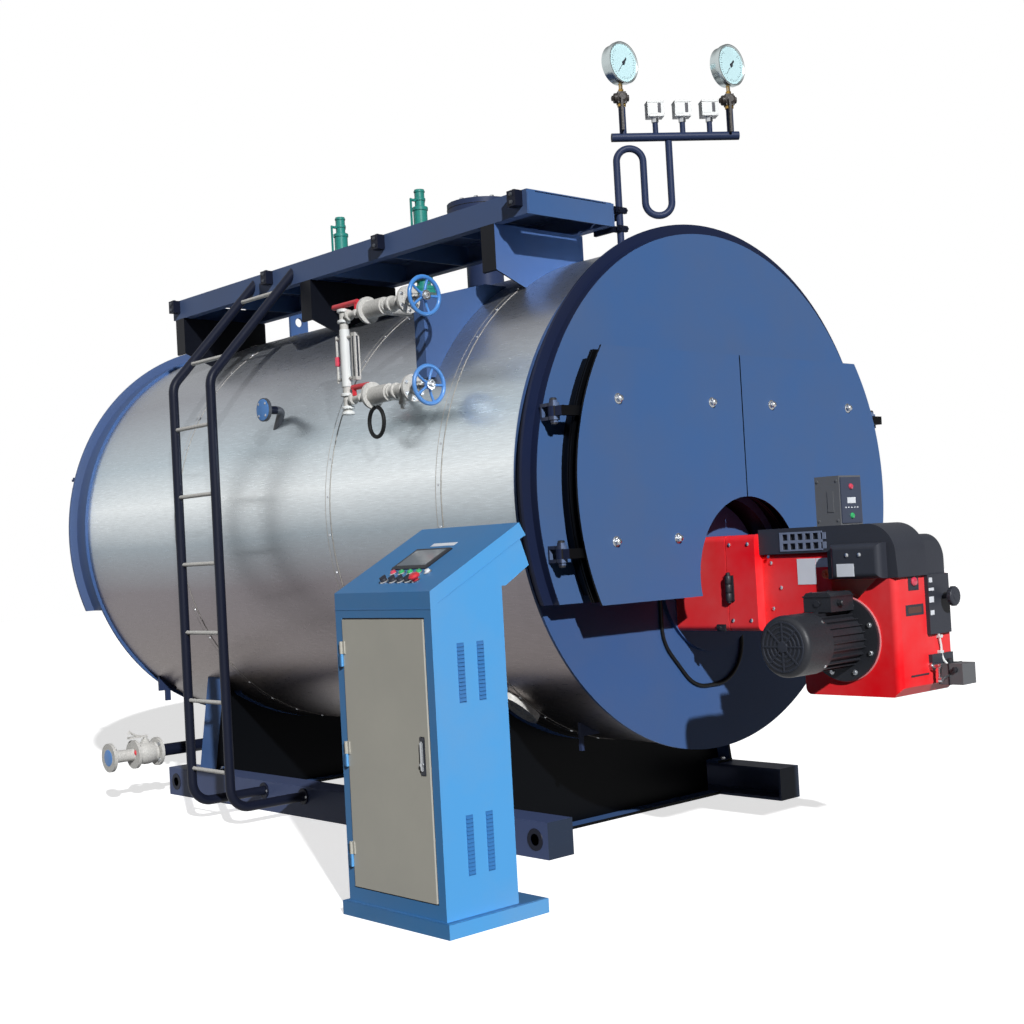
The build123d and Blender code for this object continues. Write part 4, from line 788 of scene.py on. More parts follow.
def gaugeStems(shape):
    for side in ("left", "right"):
        along, top = gauges[side]
        foot = treePlace @ Vector((along, 0, top + gauges["cock"]))
        turned(shape, at(*foot),
               [(0.011, 0), (0.011, 0.012), (0.008, 0.014), (0.008, 0.030), (0.010, 0.034)], 6)
        foot = treePlace @ Vector((along, 0, top))
        turned(shape, at(*foot), [(0.0175, -0.012), (0.0175, 0.0)], 6)


def gaugeCockBodies(shape):
    # three-way gauge cock: round plug body, nut and flat side handle
    for side in ("left", "right"):
        along, top = gauges[side]
        middle = treePlace @ Vector((along, 0, top + gauges["cock"] / 2))
        for axis, reach in (((1, 0, 0), 0.030), ((0, -1, 0), 0.028)):
            direction = treePlace.to_3x3() @ Vector(axis)
            turned(shape, at(*middle, direction),
                   [(0.019, -reach), (0.020, -reach + 0.004), (0.020, reach - 0.008), (0.013, reach - 0.006),
                    (0.013, reach)], 20)
        turned(shape, at(*middle, treePlace.to_3x3() @ Vector((-1, 0, 0))),
               [(0.011, 0.028), (0.011, 0.038), (0.008, 0.040)], 6)


switchAlong = (0.166, 0.277, 0.388)


def switchWindows(shape):
    for along in switchAlong:
        block(shape, (along + 0.008, -0.0262, 2.846), (along + 0.021, -0.024, 2.884), 0.0006, treePlace)


def switchTrim(shape):
    for along in switchAlong:
        block(shape, (along - 0.034, -0.0265, 2.886), (along + 0.034, 0.0265, 2.8955), 0.0015, treePlace)
        block(shape, (along - 0.030, -0.0258, 2.842), (along + 0.004, -0.0245, 2.880), 0.0006, treePlace)
        for corner in (-0.028, 0.028):
            spot = treePlace @ Vector((along + corner, -0.0252, 2.838))
            turned(shape, at(*spot, treePlace.to_3x3() @ Vector((0, -1, 0))),
                   [(0.003, -0.0005), (0.003, 0.0012), (0, 0.0016)], 12)


def switchNuts(shape):
    for along in switchAlong:
        spot = treePlace @ Vector((along, 0, 2.812))
        turned(shape, at(*spot), [(0.0145, 0), (0.0145, 0.016)], 6)
        turned(shape, at(*spot), [(0.016, 0.0165), (0.018, 0.0185), (0.018, 0.021), (0.010, 0.0215)], 24)


addPiece("gaugeBezels", gaugeBezels, "gaugeCase")
addPiece("gaugeDials", gaugeDials, "dial")
addPiece("gaugeMarks", gaugeMarks, "blackPlastic")
addPiece("gaugeStems", gaugeStems, "brass")
addPiece("gaugeCockBodies", gaugeCockBodies, "darkCast")
addPiece("switchWindows", switchWindows, "navyPanel")
addPiece("switchTrim", switchTrim, "whitePlastic")
addPiece("switchNuts", switchNuts, "zinc")
print("gauge tree dressed")


# water level gauge
level = {"x": -1.030, "low": 1.767, "high": 2.097, "wheelY": -0.203, "columnY": 0.305,
         "sightY": 0.237, "rodY": 0.360, "wheelR": 0.078, "rimR": 0.008}


def handWheel(shape, height):
    # cast wheel: round rim, five curved spokes and a bossed hub
    place = at(level["x"], level["wheelY"], height, (0, -1, 0))
    ring, rim = level["wheelR"] - level["rimR"], level["rimR"]
    turned(shape, place, [(ring + rim * math.cos(a), rim * math.sin(a))
                          for a in (2 * math.pi * k / 16 for k in range(17))], 56)
    for k in range(5):
        spin = place @ Matrix.Rotation(2 * math.pi * k / 5, 4, "Z")
        bow = [spin @ Vector((0.012 + (ring - 0.012) * t, 0,
                              -0.004 * math.sin(math.pi * t) - 0.002 * (1 - t)))
               for t in (j / 6 for j in range(7))]
        tube(shape, bow, 0.0052, 10)
    turned(shape, place,
           [(0.0078, -0.012), (0.015, -0.012), (0.017, -0.008), (0.017, 0.006), (0.013, 0.012),
            (0.0078, 0.012)], 32)


def wheelNut(shape, height):
    place = at(level["x"], level["wheelY"], height, (0, -1, 0))
    turned(shape, place, [(0.019, 0.0122), (0.019, 0.0145), (0.012, 0.015)], 28)
    turned(shape, place, [(0.0125, 0.0145), (0.0125, 0.021), (0.010, 0.0225)], 6)
    turned(shape, place, [(0.0065, 0.022), (0.0055, 0.0245), (0, 0.025)], 20)


def valveBonnets(shape):
    # bonnet flanges, gland nuts and the turned steps of both valves
    for height in (level["low"], level["high"]):
        place = at(level["x"], 0, height, (0, -1, 0))
        for y, r, deep in ((-0.118, 0.020, 0.016), (-0.098, 0.030, 0.006), (-0.060, 0.026, 0.030),
                           (-0.015, 0.031, 0.014), (0.020, 0.027, 0.018), (0.160, 0.022, 0.026),
                           (0.210, 0.018, 0.016), (0.262, 0.022, 0.014)):
            turned(shape, place,
                   [(r - 0.002, -y - deep), (r, -y - deep + 0.002), (r, -y - 0.002), (r - 0.002, -y)], 32)
        turned(shape, place, [(0.017, 0.134), (0.017, 0.148)], 6)
        turned(shape, place, [(0.012, 0.147), (0.012, 0.158), (0.0078, 0.160)], 24)


def valveBolts(shape):
    for height in (level["low"], level["high"]):
        for y, way in ((-0.113, -1), (0.149, 1)):
            for k in range(6):
                a = math.radians(30 + 60 * k)
                bolt(shape,
                     at(level["x"] + 0.041 * math.cos(a), y, height + 0.041 * math.sin(a), (0, way, 0)),
                     0.0065)


def sightGlass(shape):
    x, y = level["x"], level["sightY"]
    block(shape, (x - 0.013, y - 0.004, level["low"] + 0.086),
          (x - 0.0121, y + 0.004, level["high"] - 0.086), 0.0002)
    block(shape, (x - 0.004, y - 0.013, level["low"] + 0.086),
          (x + 0.004, y - 0.0121, level["high"] - 0.086), 0.0002)


def indicatorTicks(shape):
    x = level["x"]
    count = 15
    low, high = level["low"] + 0.090, level["high"] - 0.090
    for k in range(count):
        z = low + (high - low) * k / (count - 1)
        turned(shape, at(x, level["columnY"], z),
               [(0.0172, -0.0016), (0.0176, -0.001), (0.0176, 0.001), (0.0172, 0.0016)], 24)


def indicatorTube(shape):
    # pale magnetic indicator tube over the float chamber, with clamps
    x, y = level["x"], level["columnY"]
    turned(shape, at(x, y, level["low"] + 0.052),
           [(0.0205, 0), (0.0205, level["high"] - level["low"] - 0.104)], 28)
    for z in (level["low"] - 0.052, level["low"] - 0.030, level["high"] + 0.022, level["high"] - 0.020,
              level["low"] + 0.020):
        turned(shape, at(x, y, z), [(0.024, -0.006), (0.026, -0.004), (0.026, 0.004), (0.024, 0.006)], 28)


def floatMark(shape):
    turned(shape, at(level["x"], level["rodY"], 1.925),
           [(0.006, -0.020), (0.011, -0.016), (0.011, 0.016), (0.006, 0.020)], 24)


def leverGrip(shape, hub, reach, height):
    # flat lever in a dipped vinyl grip, on a hexagon spindle
    x = level["x"]
    base, top = height + 0.0123, height + 0.0403
    turned(shape, at(x, hub, base), [(0.010, 0.001), (0.010, top - base - 0.004), (0.012, top - base)], 6)
    way = 1 if reach > 0 else -1
    points = [(x, hub - way * 0.010, top + 0.004), (x, hub + way * 0.015, top + 0.004),
              (x, hub + reach * 0.4, top + 0.004), (x, hub + reach, top + 0.004)]
    tube(shape, points, 0.011, 14)


def drainTap(shape):
    # little drain below the lower valve
    x, y = level["x"], -0.04
    turned(shape, at(x, y, level["low"] - 0.024, (0, 0, -1)),
           [(0.010, -0.01), (0.010, 0.014), (0.014, 0.016), (0.014, 0.030), (0.008, 0.032), (0.008, 0.048),
            (0, 0.048)], 20)


def drainHandle(shape):
    # black dipped ring handle that hangs under the lower valve
    x = level["x"] - 0.004
    ring = arc((x, 0.120, level["low"] - 0.105), 0.046, 100, 440, 26, (0, 1, 0), (0, 0, 1.25))
    tube(shape, ring, 0.008, 12)


addPiece("handWheelUpper", handWheel, "wheelBlue", "wheel_upper", ["hand_wheel_upper"], height=level["high"])
addPiece("handWheelLower", handWheel, "wheelBlue", "wheel_lower", ["hand_wheel_lower"], height=level["low"])
addPiece("wheelNutUpper", wheelNut, "zinc", "wheel_upper", height=level["high"])
addPiece("wheelNutLower", wheelNut, "zinc", "wheel_lower", height=level["low"])
addPiece("valveBonnets", valveBonnets, "castValve")
addPiece("valveBolts", valveBolts, "zinc")
addPiece("sightGlass", sightGlass, "blackPlastic")
addPiece("indicatorTube", indicatorTube, "whitePlastic")
addPiece("indicatorTicks", indicatorTicks, "navyPanel")
addPiece("floatMark", floatMark, "pinkLamp")
addPiece("leverGripUpper", leverGrip, "leverRed", "lever_upper", hub=0.217, reach=0.150, height=level["high"])
addPiece("leverGripLower", leverGrip, "leverRed", "lever_lower", hub=0.259, reach=-0.096, height=level["low"])
addPiece("drainTap", drainTap, "castValve")
addPiece("drainHandle", drainHandle, "blackRubber")
print("level gauge dressed")


# drum fittings
steam = {"y": 0.605, "boltR": 0.138, "top": 2.730, "under": 2.682, "joint": 2.7055}
nozzle = {"y": 0.942, "z": 1.798, "face": -1.014, "back": -1.000, "neck": -0.9995, "boltR": 0.036}
safety = {"front": 1.051, "rear": 1.703, "neck": 2.408}


def safetyValveDetails(shape):
    # spring bonnet rings, cap, lifting fork and side outlet of each valve
    for y in (safety["front"], safety["rear"]):
        place = at(0, y, 0)
        for z, r, deep in ((2.452, 0.044, 0.030), (2.500, 0.040, 0.014), (2.560, 0.037, 0.010),
                           (2.640, 0.037, 0.010), (2.720, 0.037, 0.010), (2.792, 0.038, 0.020),
                           (2.840, 0.028, 0.016), (2.880, 0.027, 0.012)):
            turned(shape, place,
                   [(r - 0.003, z), (r, z + 0.003), (r, z + deep - 0.003), (r - 0.003, z + deep)], 28)
        turned(shape, at(-0.030, y, 2.470, (-1, 0, 0)),
               [(0.026, -0.01), (0.026, 0.030), (0.034, 0.032), (0.034, 0.042)], 24)
        block(shape, (-0.056, y - 0.006, 2.836), (0.030, y + 0.006, 2.848), 0.002)
        block(shape, (-0.060, y - 0.005, 2.700), (-0.050, y + 0.005, 2.850), 0.002)


def flangeBolts(shape):
    for y in (safety["front"], safety["rear"]):
        for k in range(6):
            a = math.radians(60 * k + 15)
            bolt(shape, at(0.050 * math.cos(a), y + 0.050 * math.sin(a), safety["neck"] + 0.016), 0.007)
    for k in range(12):
        a = math.radians(30 * k + 8)
        x, y = steam["boltR"] * math.cos(a), steam["y"] + steam["boltR"] * math.sin(a)
        bolt(shape, at(x, y, steam["top"]), 0.012)
        bolt(shape, at(x, y, steam["under"], (0, 0, -1)), 0.012)


def steamGasket(shape):
    turned(shape, at(0, steam["y"], steam["joint"]), [(0.161, -0.0014), (0.1612, 0), (0.161, 0.0014)], 64)


def nozzleCap(shape):
    place = at(nozzle["face"], nozzle["y"], nozzle["z"], (-1, 0, 0))
    turned(shape, place, [(0.046, 0), (0.046, 0.002), (0.040, 0.003), (0, 0.0035)], 40)


def nozzleNeck(shape):
    place = at(nozzle["neck"], nozzle["y"], nozzle["z"], (1, 0, 0))
    turned(shape, place, [(0.0178, 0), (0.0178, 0.052)], 28)
    turned(shape, place, [(0.024, 0), (0.022, 0.006), (0.018, 0.009)], 28)


def nozzleBolts(shape):
    for k in range(4):
        a = math.radians(45 + 90 * k)
        y, z = nozzle["y"] + nozzle["boltR"] * math.cos(a), nozzle["z"] + nozzle["boltR"] * math.sin(a)
        bolt(shape, at(nozzle["back"], y, z, (1, 0, 0)), 0.007)
        bolt(shape, at(nozzle["face"], y, z, (-1, 0, 0)), 0.007)


blow = {"y": 2.285, "z": 0.238, "valveX": -0.930, "endX": -1.130, "boltR": 0.054}


def blowdownBolts(shape):
    for x, way in ((-1.114, 1), (-0.984, 1), (-0.876, -1)):
        for k in range(4):
            a = math.radians(45 + 90 * k)
            y, z = blow["y"] + blow["boltR"] * math.cos(a), blow["z"] + blow["boltR"] * math.sin(a)
            bolt(shape, at(x, y, z, (way, 0, 0)), 0.010)


def blowdownCap(shape):
    turned(shape, at(blow["endX"], blow["y"], blow["z"], (-1, 0, 0)),
           [(0.040, -0.012), (0.040, 0.0012), (0.036, 0.002), (0, 0.002)], 36)


def blowdownNut(shape):
    turned(shape, at(blow["valveX"] - 0.056, blow["y"], blow["z"] + 0.010, (0, -1, 0)),
           [(0.022, 0.010), (0.022, 0.034), (0.018, 0.038)], 6)


def blowdownBody(shape):
    place = at(blow["valveX"], blow["y"], blow["z"], (1, 0, 0))
    turned(shape, place,
           [(0.038, -0.054), (0.046, -0.046), (0.052, -0.030), (0.056, -0.010), (0.056, 0.010),
            (0.052, 0.030), (0.046, 0.046), (0.038, 0.054)], 36)
    turned(shape, at(blow["valveX"], blow["y"], blow["z"] + 0.046),
           [(0.024, 0), (0.024, 0.010), (0.018, 0.012), (0.018, 0.020)], 24)
    tube(shape,
         [(-0.93, 2.285, 0.321), (-0.965, 2.285, 0.324), (-0.995, 2.285, 0.336), (-1.012, 2.285, 0.352),
          (-1.02, 2.285, 0.34)], 0.005, 10)


def handHoleCover(shape):
    # oval cover plate inside the ring, with its yoke
    tilt = math.radians(36.8)
    out = Vector((-math.sin(tilt), 0, -math.cos(tilt)))
    base = Vector((0, -0.131, axisZ)) + out * (cladR + 0.002)
    place = Matrix.Translation(base) @ out.to_track_quat("Z", "Y").to_matrix().to_4x4()
    flat = place @ Matrix.Diagonal((0.52, 1, 1, 1))
    turned(shape, flat, [(0.082, 0), (0.082, 0.008), (0.060, 0.013), (0, 0.015)], 40)
    turned(shape, place, [(0.013, 0.012), (0.013, 0.024)], 6)


seams = {"front": -0.185, "middle": 0.525, "rear": 1.755, "width": 0.026, "rise": 0.0016}


def seamScrews(shape):
    # self-tapping screws along the lapped joints of the cladding
    for y in (seams["front"], seams["middle"], seams["rear"]):
        for k in range(40):
            a = math.radians(9 * k + 4)
            out = Vector((math.sin(a), 0, math.cos(a)))
            spot = Vector((0, y + seams["width"] / 2, axisZ)) + out * (cladR + seams["rise"])
            turned(shape, at(*spot, out), [(0.0055, -0.0003), (0.005, 0.0014), (0, 0.0022)], 8)


def seamEdgeHighlights(shape):
    # raised pale strips along both edges of each lapped joint, their pale colour a painted highlight on the
    # seam edges
    r = cladR + 0.0004
    for y in (seams["front"], seams["middle"], seams["rear"]):
        for edge in (y - 0.0045, y + seams["width"] + 0.0005):
            turned(shape, at(0, edge, axisZ, (0, 1, 0)),
                   [(r, 0), (r + 0.0009, 0.0004), (r + 0.0009, 0.0036), (r, 0.004), (r, 0)], 160)


addPiece("seamEdgeHighlights", seamEdgeHighlights, "seamHighlight")
addPiece("safetyValveDetails", safetyValveDetails, "teal")
addPiece("flangeBolts", flangeBolts, "zinc")
addPiece("steamGasket", steamGasket, "blackRubber")
addPiece("nozzleCap", nozzleCap, "wheelBlue")
addPiece("nozzleNeck", nozzleNeck, "darkNavy")
addPiece("nozzleBolts", nozzleBolts, "zinc")
addPiece("blowdownBolts", blowdownBolts, "zinc")
addPiece("blowdownCap", blowdownCap, "wheelBlue")
addPiece("blowdownNut", blowdownNut, "leverRed")
addPiece("blowdownBody", blowdownBody, "castValve")
addPiece("handHoleCover", handHoleCover, "castValve")
addPiece("seamScrews", seamScrews, "zinc")
print("drum dressed")


# walkway, ladder and base
walk = {"left": -0.684, "right": -0.212, "start": -0.415, "length": 2.650, "top": 2.490}


def walkwayClipBolts(shape):
    for k in range(4):
        y = walk["start"] + 0.024 + (walk["length"] - 0.048 - 0.046) * k / 3 + 0.023
        for x, way in ((walk["left"] - 0.038, -1), (walk["right"] + 0.038, 1)):
            for z in (walk["top"] - 0.015, walk["top"] - 0.045):
                bolt(shape, at(x, y, z, (way, 0, 0)), 0.008)
            turned(shape, at(x - way * 0.018, y, walk["top"]),
                   [(0.010, -0.001), (0.010, 0.004), (0.006, 0.006)], 6)


def deckTreads(shape):
    # raised lozenges of the chequered plate, in rows that turn about
    z = walk["top"] + 0.004
    rows, columns = 88, 15
    for row in range(rows):
        for column in range(columns):
            x = walk["left"] + 0.022 + (0.428) * column / (columns - 1)
            y = walk["start"] + 0.022 + 2.606 * row / (rows - 1)
            a = math.radians(45 if (row + column) % 2 else -45)
            c, s = math.cos(a), math.sin(a)
            corners = [(0.011, 0), (0, 0.0028), (-0.011, 0), (0, -0.0028)]
            base = [shape.verts.new((x + c * u - s * v, y + s * u + c * v, z - 0.0002)) for u, v in corners]
            crown = [shape.verts.new((x + 0.6 * (c * u - s * v), y + 0.6 * (s * u + c * v), z + 0.0012))
                     for u, v in corners]
            shape.faces.new(crown)
            for j in range(4):
                shape.faces.new((base[j], base[(j + 1) % 4], crown[(j + 1) % 4], crown[j]))


def frameWelds(shape):
    # weld beads where the cross bars and posts meet the channels
    for k in range(7):
        y = walk["start"] + 2.644 * k / 6
        for x in (walk["left"] + 0.007, walk["right"] - 0.007):
            tube(shape, [(x, y, walk["top"] - 0.086), (x, y, walk["top"] - 0.009)], 0.003, 8)


ladder = {"front": 1.165, "rear": 1.485, "foot": 0.095, "footX": -0.7585, "plate": 0.008, "boltY": 0.029}


def ladderFeet(shape):
    # small flanges where the rails are bolted to the skid
    for y in (ladder["front"], ladder["rear"]):
        plate = ladder["plate"]
        turned(shape, at(ladder["footX"], y, ladder["foot"], (-1, 0, 0)),
               [(0.036, 0), (0.036, 0.006), (0.034, plate), (0.022, plate), (0.0215, 0.014)], 32)


def ladderFootBolts(shape):
    for y in (ladder["front"], ladder["rear"]):
        for side in (-ladder["boltY"], ladder["boltY"]):
            bolt(shape, at(ladder["footX"] - ladder["plate"], y + side, ladder["foot"], (-1, 0, 0)), 0.006)


skid = {"outer": 0.758, "front": -0.417, "end": 2.372, "height": 0.137}


def skidPads(shape):
    # dark pads around the towing holes and bolts in the flanges
    for side in (-1, 1):
        for y in (skid["front"] + 0.070, skid["end"] - 0.070):
            place = at(side * skid["outer"], y, skid["height"] / 2, (side, 0, 0))
            turned(shape, place, [(0.0225, 0), (0.0225, 0.0025), (0.040, 0.0025), (0.042, 0)], 40)


saddle = {"y": (0.0, 2.040), "x": 0.686, "foot": 0.149, "step": 0.055}


def saddleBolts(shape):
    for y in saddle["y"]:
        for side in (-1, 1):
            for step in (-saddle["step"], saddle["step"]):
                bolt(shape, at(side * saddle["x"], y + step, saddle["foot"]), 0.012)


clamp = {"x": -0.190, "y": -0.423, "heights": (2.462, 2.389), "reach": (0.022, 0.110)}


def siphonClamps(shape):
    # two clamp halves that hold the siphon pipe to the walkway's corner and the post
    for z, reach in zip(clamp["heights"], clamp["reach"]):
        x, y = clamp["x"], clamp["y"]
        block(shape, (x - 0.026, y - 0.020, z - 0.012), (x + 0.026, y - 0.004, z + 0.012), 0.002)
        block(shape, (x - 0.026, y + 0.004, z - 0.012), (x + 0.026, y + 0.018, z + 0.012), 0.002)
        block(shape, (x - 0.030, y + 0.010, z - 0.010), (x - 0.014, y + 0.010 + reach, z + 0.010), 0.001)
        block(shape, (x - 0.016, y - 0.016, z - 0.0118), (x + 0.016, y + 0.016, z + 0.0118), 0.002)
        for side in (-0.020, 0.020):
            bolt(shape, at(x + side, y - 0.020, z, (0, -1, 0)), 0.006)


addPiece("siphonClamps", siphonClamps, "darkNavy")
addPiece("walkwayClipBolts", walkwayClipBolts, "pipeGrey")
addPiece("deckTreads", deckTreads, "channelBlue")
addPiece("frameWelds", frameWelds, "channelBlue")
addPiece("ladderFeet", ladderFeet, "darkNavy")
addPiece("ladderFootBolts", ladderFootBolts, "zinc")
addPiece("skidPads", skidPads, "darkNavy")
addPiece("saddleBolts", saddleBolts, "zinc")
print("walkway and base dressed")


# cabinet
cabinet = {"left": -1.675, "right": -1.385, "front": -0.940, "back": -0.450, "start": 0.982, "lip": 0.052,
           "rise": 0.196, "run": 0.378}
slopeAngle = math.atan2(cabinet["rise"], cabinet["run"])
slopeFoot = (cabinet["left"], (cabinet["front"] + cabinet["back"]) / 2, cabinet["start"] + cabinet["lip"])
slope = Matrix.Translation(slopeFoot) @ Matrix.Rotation(-slopeAngle, 4, "Y")
screen = {"along": 0.205, "across": 0.010, "deep": 0.050, "wide": 0.074}


def screenGlass(shape):
    a, c = screen["along"], screen["across"]
    deep, wide = screen["deep"], screen["wide"]
    block(shape, (a - deep, c - wide, 0.0075), (a + deep, c + wide, 0.0086), 0.0003, slope)


def consoleBezels(shape):
    for along, across, radius in consoleSpots():
        turned(shape, slope @ Matrix.Translation((along, across, 0)),
               [(radius + 0.004, 0), (radius + 0.004, 0.003), (radius + 0.001, 0.005),
                (radius - 0.001, 0.004)], 24)


def consoleSpots():
    lamps = [(0.118, across, 0.010) for across in (0.061, 0.018, -0.026, -0.069, -0.113)]
    knobs = [(0.066, across, 0.011) for across in (0.050, 0.005, -0.035, -0.073, -0.110)]
    return lamps + knobs


def consoleLamps(shape, first, last):
    for along, across, radius in consoleSpots()[first:last]:
        turned(shape, slope @ Matrix.Translation((along, across, 0)),
               [(radius, 0), (radius, 0.006), (radius * 0.8, 0.011), (0, 0.013)], 24)


def consoleKnobs(shape):
    for along, across, radius in consoleSpots()[5:9]:
        place = slope @ Matrix.Translation((along, across, 0))
        turned(shape, place, [(radius, 0), (radius, 0.010), (radius * 0.9, 0.012), (0, 0.012)], 24)
        block(shape, (-radius * 1.1, -0.003, 0.010), (radius * 1.1, 0.003, 0.021), 0.001, place)


def consoleStopButton(shape):
    along, across, radius = consoleSpots()[9]
    turned(shape, slope @ Matrix.Translation((along, across, 0)),
           [(0.010, 0), (0.010, 0.012), (0.018, 0.014), (0.019, 0.019), (0.014, 0.025), (0, 0.027)], 32)


def consoleStrips(shape):
    block(shape, (0.292, -0.060, 0.0), (0.312, 0.060, 0.0012), 0.0004, slope)


louvre = {"x": (-1.567, -1.487), "z": ((0.175, 0.342), (0.697, 0.863)), "count": 15}


def louvres(shape):
    # pressed louvres in the cabinet's side: each a shallow hood over a slit, the slit's darkness painted
    # shade
    y = cabinet["front"]
    for x in louvre["x"]:
        for low, high in louvre["z"]:
            block(shape, (x - 0.0142, y - 0.0007, low - 0.008), (x + 0.0142, y + 0.001, high + 0.008), 0.0003)
            for k in range(louvre["count"]):
                z = low + (high - low) * k / (louvre["count"] - 1)
                corners = [(x - 0.0135, y, z + 0.004), (x + 0.0135, y, z + 0.004),
                           (x + 0.0125, y - 0.0035, z - 0.004), (x - 0.0125, y - 0.0035, z - 0.004)]
                top = [shape.verts.new(c) for c in corners]
                low0, low1 = shape.verts.new((x - 0.0135, y, z - 0.004)), shape.verts.new((x + 0.0135, y,
                                                                                           z - 0.004))
                shape.faces.new(top)
                shape.faces.new((top[0], top[3], low0))
                shape.faces.new((top[1], low1, top[2]))


# painted shade: black strips that stand for the dark openings under the hoods
def louvreSlitShades(shape):
    y = cabinet["front"]
    for x in louvre["x"]:
        for low, high in louvre["z"]:
            for k in range(louvre["count"]):
                z = low + (high - low) * k / (louvre["count"] - 1)
                block(shape, (x - 0.012, y - 0.0012, z - 0.0052), (x + 0.012, y + 0.0005, z - 0.0036), 0)


def doorEscutcheon(shape):
    # recessed swing handle in its escutcheon, on the latch side
    x = cabinet["left"] - 0.004
    block(shape, (x - 0.003, -0.885, 0.478), (x + 0.001, -0.861, 0.596), 0.002)


def doorHandle(shape):
    x = cabinet["left"] - 0.007
    block(shape, (x - 0.006, -0.880, 0.492), (x, -0.866, 0.582), 0.003)
    turned(shape, at(x, -0.873, 0.512, (-1, 0, 0)), [(0.006, 0), (0.006, 0.008), (0, 0.0085)], 20)


def cabinetGasket(shape):
    x = cabinet["left"] + 0.002
    y0, y1, z0, z1 = -0.906, -0.484, 0.092, 0.955
    for low, high in (((x, y0, z0), (x + 0.002, y1, z0 + 0.004)), ((x, y0, z1 - 0.004), (x + 0.002, y1, z1)),
                      ((x, y0, z0), (x + 0.002, y0 + 0.004, z1)), ((x, y1 - 0.004, z0), (x + 0.002, y1, z1))):
        block(shape, low, high, 0)


def cabinetTrim(shape):
    # folded double edge under the console and above the plinth
    c = cabinet
    fold = 0.0012
    block(shape, (c["left"] - fold, c["front"] - fold, c["start"] - 0.003),
          (c["left"] + 0.003, c["back"] + fold, c["start"] + 0.001), 0.0006)
    for across in (c["front"], c["back"]):
        half = across - (c["front"] + c["back"]) / 2
        out = fold if half > 0 else -fold
        block(shape, (0.010, min(half, half + out), -0.047), (0.415, max(half, half + out), -0.0445), 0.0003,
              slope)
    block(shape, (c["left"] - 0.010, c["front"] - 0.020, 0.0452),
          (c["right"] + 0.100, c["back"] + 0.020, 0.0465), 0.0006)


addPiece("screenGlass", screenGlass, "screen")
addPiece("consoleBezels", consoleBezels, "zinc")
addPiece("consoleRedLamp", consoleLamps, "pinkLamp", first=0, last=1)
addPiece("consoleGreenLamps", consoleLamps, "greenLamp", first=1, last=4)
addPiece("consoleWhiteLamps", consoleLamps, "whiteLamp", first=4, last=5)
addPiece("consoleKnobs", consoleKnobs, "blackPlastic")
addPiece("consoleStopButton", consoleStopButton, "leverRed")
addPiece("consoleStrips", consoleStrips, "label")
addPiece("louvres", louvres, "louvreBlue")
addPiece("louvreSlitShades", louvreSlitShades, "blackRubber")
addPiece("doorEscutcheon", doorEscutcheon, "blackPlastic", "cabinet_door")
addPiece("doorHandle", doorHandle, "zinc", "cabinet_door")
addPiece("cabinetGasket", cabinetGasket, "blackRubber")
addPiece("cabinetTrim", cabinetTrim, "cabinetBlue")
print("cabinet dressed")


# stage, light and camera
stage = {"floorSize": 60.0, "sunStrength": 3.9, "sunAngle": 1.2, "sunTravel": (0.52, 1.0, -0.58),
         "fill": 0.012, "lift": 0.70, "mirrored": 0.85}


def shownRays(graph):
    rays = addNode(graph, "ShaderNodeLightPath")
    seen = rays.outputs["Is Camera Ray"]
    for label in ("Is Glossy Ray", "Is Transmission Ray"):
        seen = addNode(graph, "ShaderNodeMath", larger, i0=seen, i1=rays.outputs[label]).outputs[0]
    return seen, rays.outputs["Is Camera Ray"]


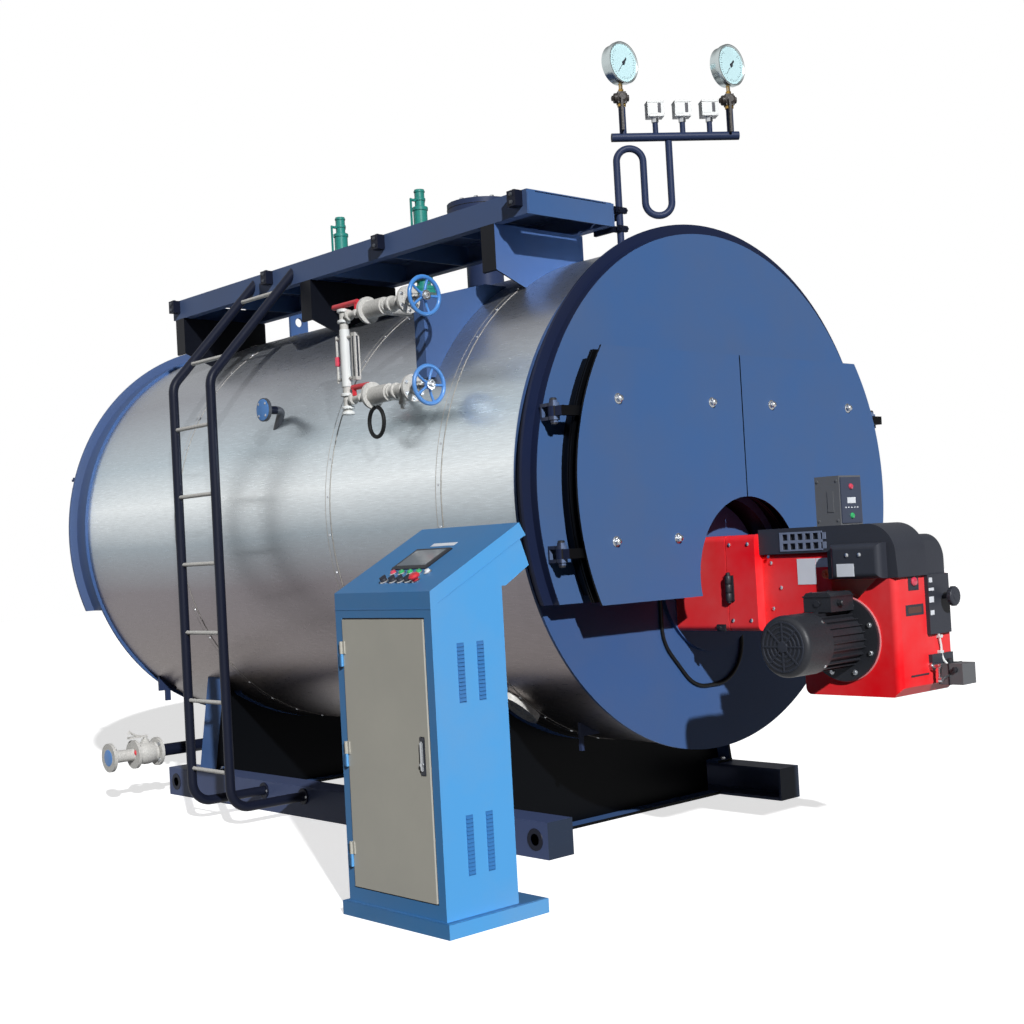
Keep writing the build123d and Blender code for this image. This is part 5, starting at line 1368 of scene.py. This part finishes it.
def buildStage():
    half = stage["floorSize"] / 2
    mesh = bpy.data.meshes.new("floor")
    mesh.from_pydata([(-half, -half, 0), (half, -half, 0), (half, half, 0), (-half, half, 0)], [],
                     [(0, 1, 2, 3)])
    floor = bpy.data.objects.new("floor", mesh)
    bpy.context.collection.objects.link(floor)
    floor.location = (0, 1.2, -0.001)
    material, graph, shader, coords = newMaterial("paleFloorPaint")
    cloud = addNode(graph, "ShaderNodeTexNoise", Vector=coords.outputs["Object"], Scale=3.0).outputs[0]
    pale = addNode(graph, "ShaderNodeValToRGB", {"stops": [(0.3, "#f2f2f2"), (0.7, "#f6f6f6")]},
                   i0=cloud).outputs[0]
    feed(graph, shader, Roughness=0.9, Specular_IOR_Level=0.1)
    seen, camera = shownRays(graph)
    tone = addNode(graph, "ShaderNodeMix", rgba, i0=camera, i6=linear("#3a3a3a"), i7=pale)
    graph.links.new(tone.outputs[2], shader.inputs["Base Color"])
    level = addNode(graph, "ShaderNodeMapRange", Value=camera, i3=stage["mirrored"],
                    i4=stage["lift"]).outputs[0]
    glow = addNode(graph, "ShaderNodeMath", times, i0=seen, i1=level).outputs[0]
    feed(graph, shader, Emission_Color=(1, 1, 1, 1), Emission_Strength=glow)
    mesh.materials.append(material)
    world = bpy.data.worlds.new("studio")
    bpy.context.scene.world = world
    world.use_nodes = True
    graph = world.node_tree
    graph.nodes.clear()
    seen, camera = shownRays(graph)
    strength = addNode(graph, "ShaderNodeMapRange", Value=seen, i3=stage["fill"], i4=1.0).outputs[0]
    way = addNode(graph, "ShaderNodeSeparateXYZ",
                  i0=addNode(graph, "ShaderNodeTexCoord").outputs["Generated"])
    side = addNode(graph, "ShaderNodeMapRange", Value=way.outputs["X"], i1=-0.45, i2=0.35, i3=1.0,
                   i4=0.30).outputs[0]
    glossy = addNode(graph, "ShaderNodeMath", larger, i0=side, i1=camera).outputs[0]
    level = addNode(graph, "ShaderNodeMath", times, i0=strength, i1=glossy).outputs[0]
    back = addNode(graph, "ShaderNodeBackground", Color=(1, 1, 1, 1), Strength=level)
    addNode(graph, "ShaderNodeOutputWorld", Surface=back.outputs[0])
    lamp = bpy.data.lights.new("keyLight", "SUN")
    lamp.energy = stage["sunStrength"]
    lamp.angle = math.radians(stage["sunAngle"])
    key = bpy.data.objects.new("keyLight", lamp)
    key.rotation_mode = "QUATERNION"
    key.rotation_quaternion = Vector(stage["sunTravel"]).to_track_quat("-Z", "Y")
    bpy.context.collection.objects.link(key)


# the photographer's stand: place in metres, angles in radians, lens and sensor in mm
stand = {"place": (-4.4156, -4.334, 1.1464), "angles": (0.7388, 0.0255, -0.0548), "lens": 51.12, "sensor": 36}


def buildCamera():
    yaw, pitch, roll = stand["angles"]
    forward = Vector((math.sin(yaw) * math.cos(pitch), math.cos(yaw) * math.cos(pitch), math.sin(pitch)))
    right = Vector((math.cos(yaw), -math.sin(yaw), 0))
    up = right.cross(forward)
    right, up = (math.cos(roll) * right + math.sin(roll) * up, math.cos(roll) * up - math.sin(roll) * right)
    lens = bpy.data.cameras.new("camera")
    lens.lens = stand["lens"]
    lens.sensor_width = stand["sensor"]
    camera = bpy.data.objects.new("camera", lens)
    spin = Matrix((right, up, -forward)).transposed().to_4x4()
    camera.matrix_world = Matrix.Translation(stand["place"]) @ spin
    bpy.context.collection.objects.link(camera)
    bpy.context.scene.camera = camera


buildStage()
buildCamera()
bpy.context.scene.view_settings.view_transform = "Standard"
print("stage and camera set")
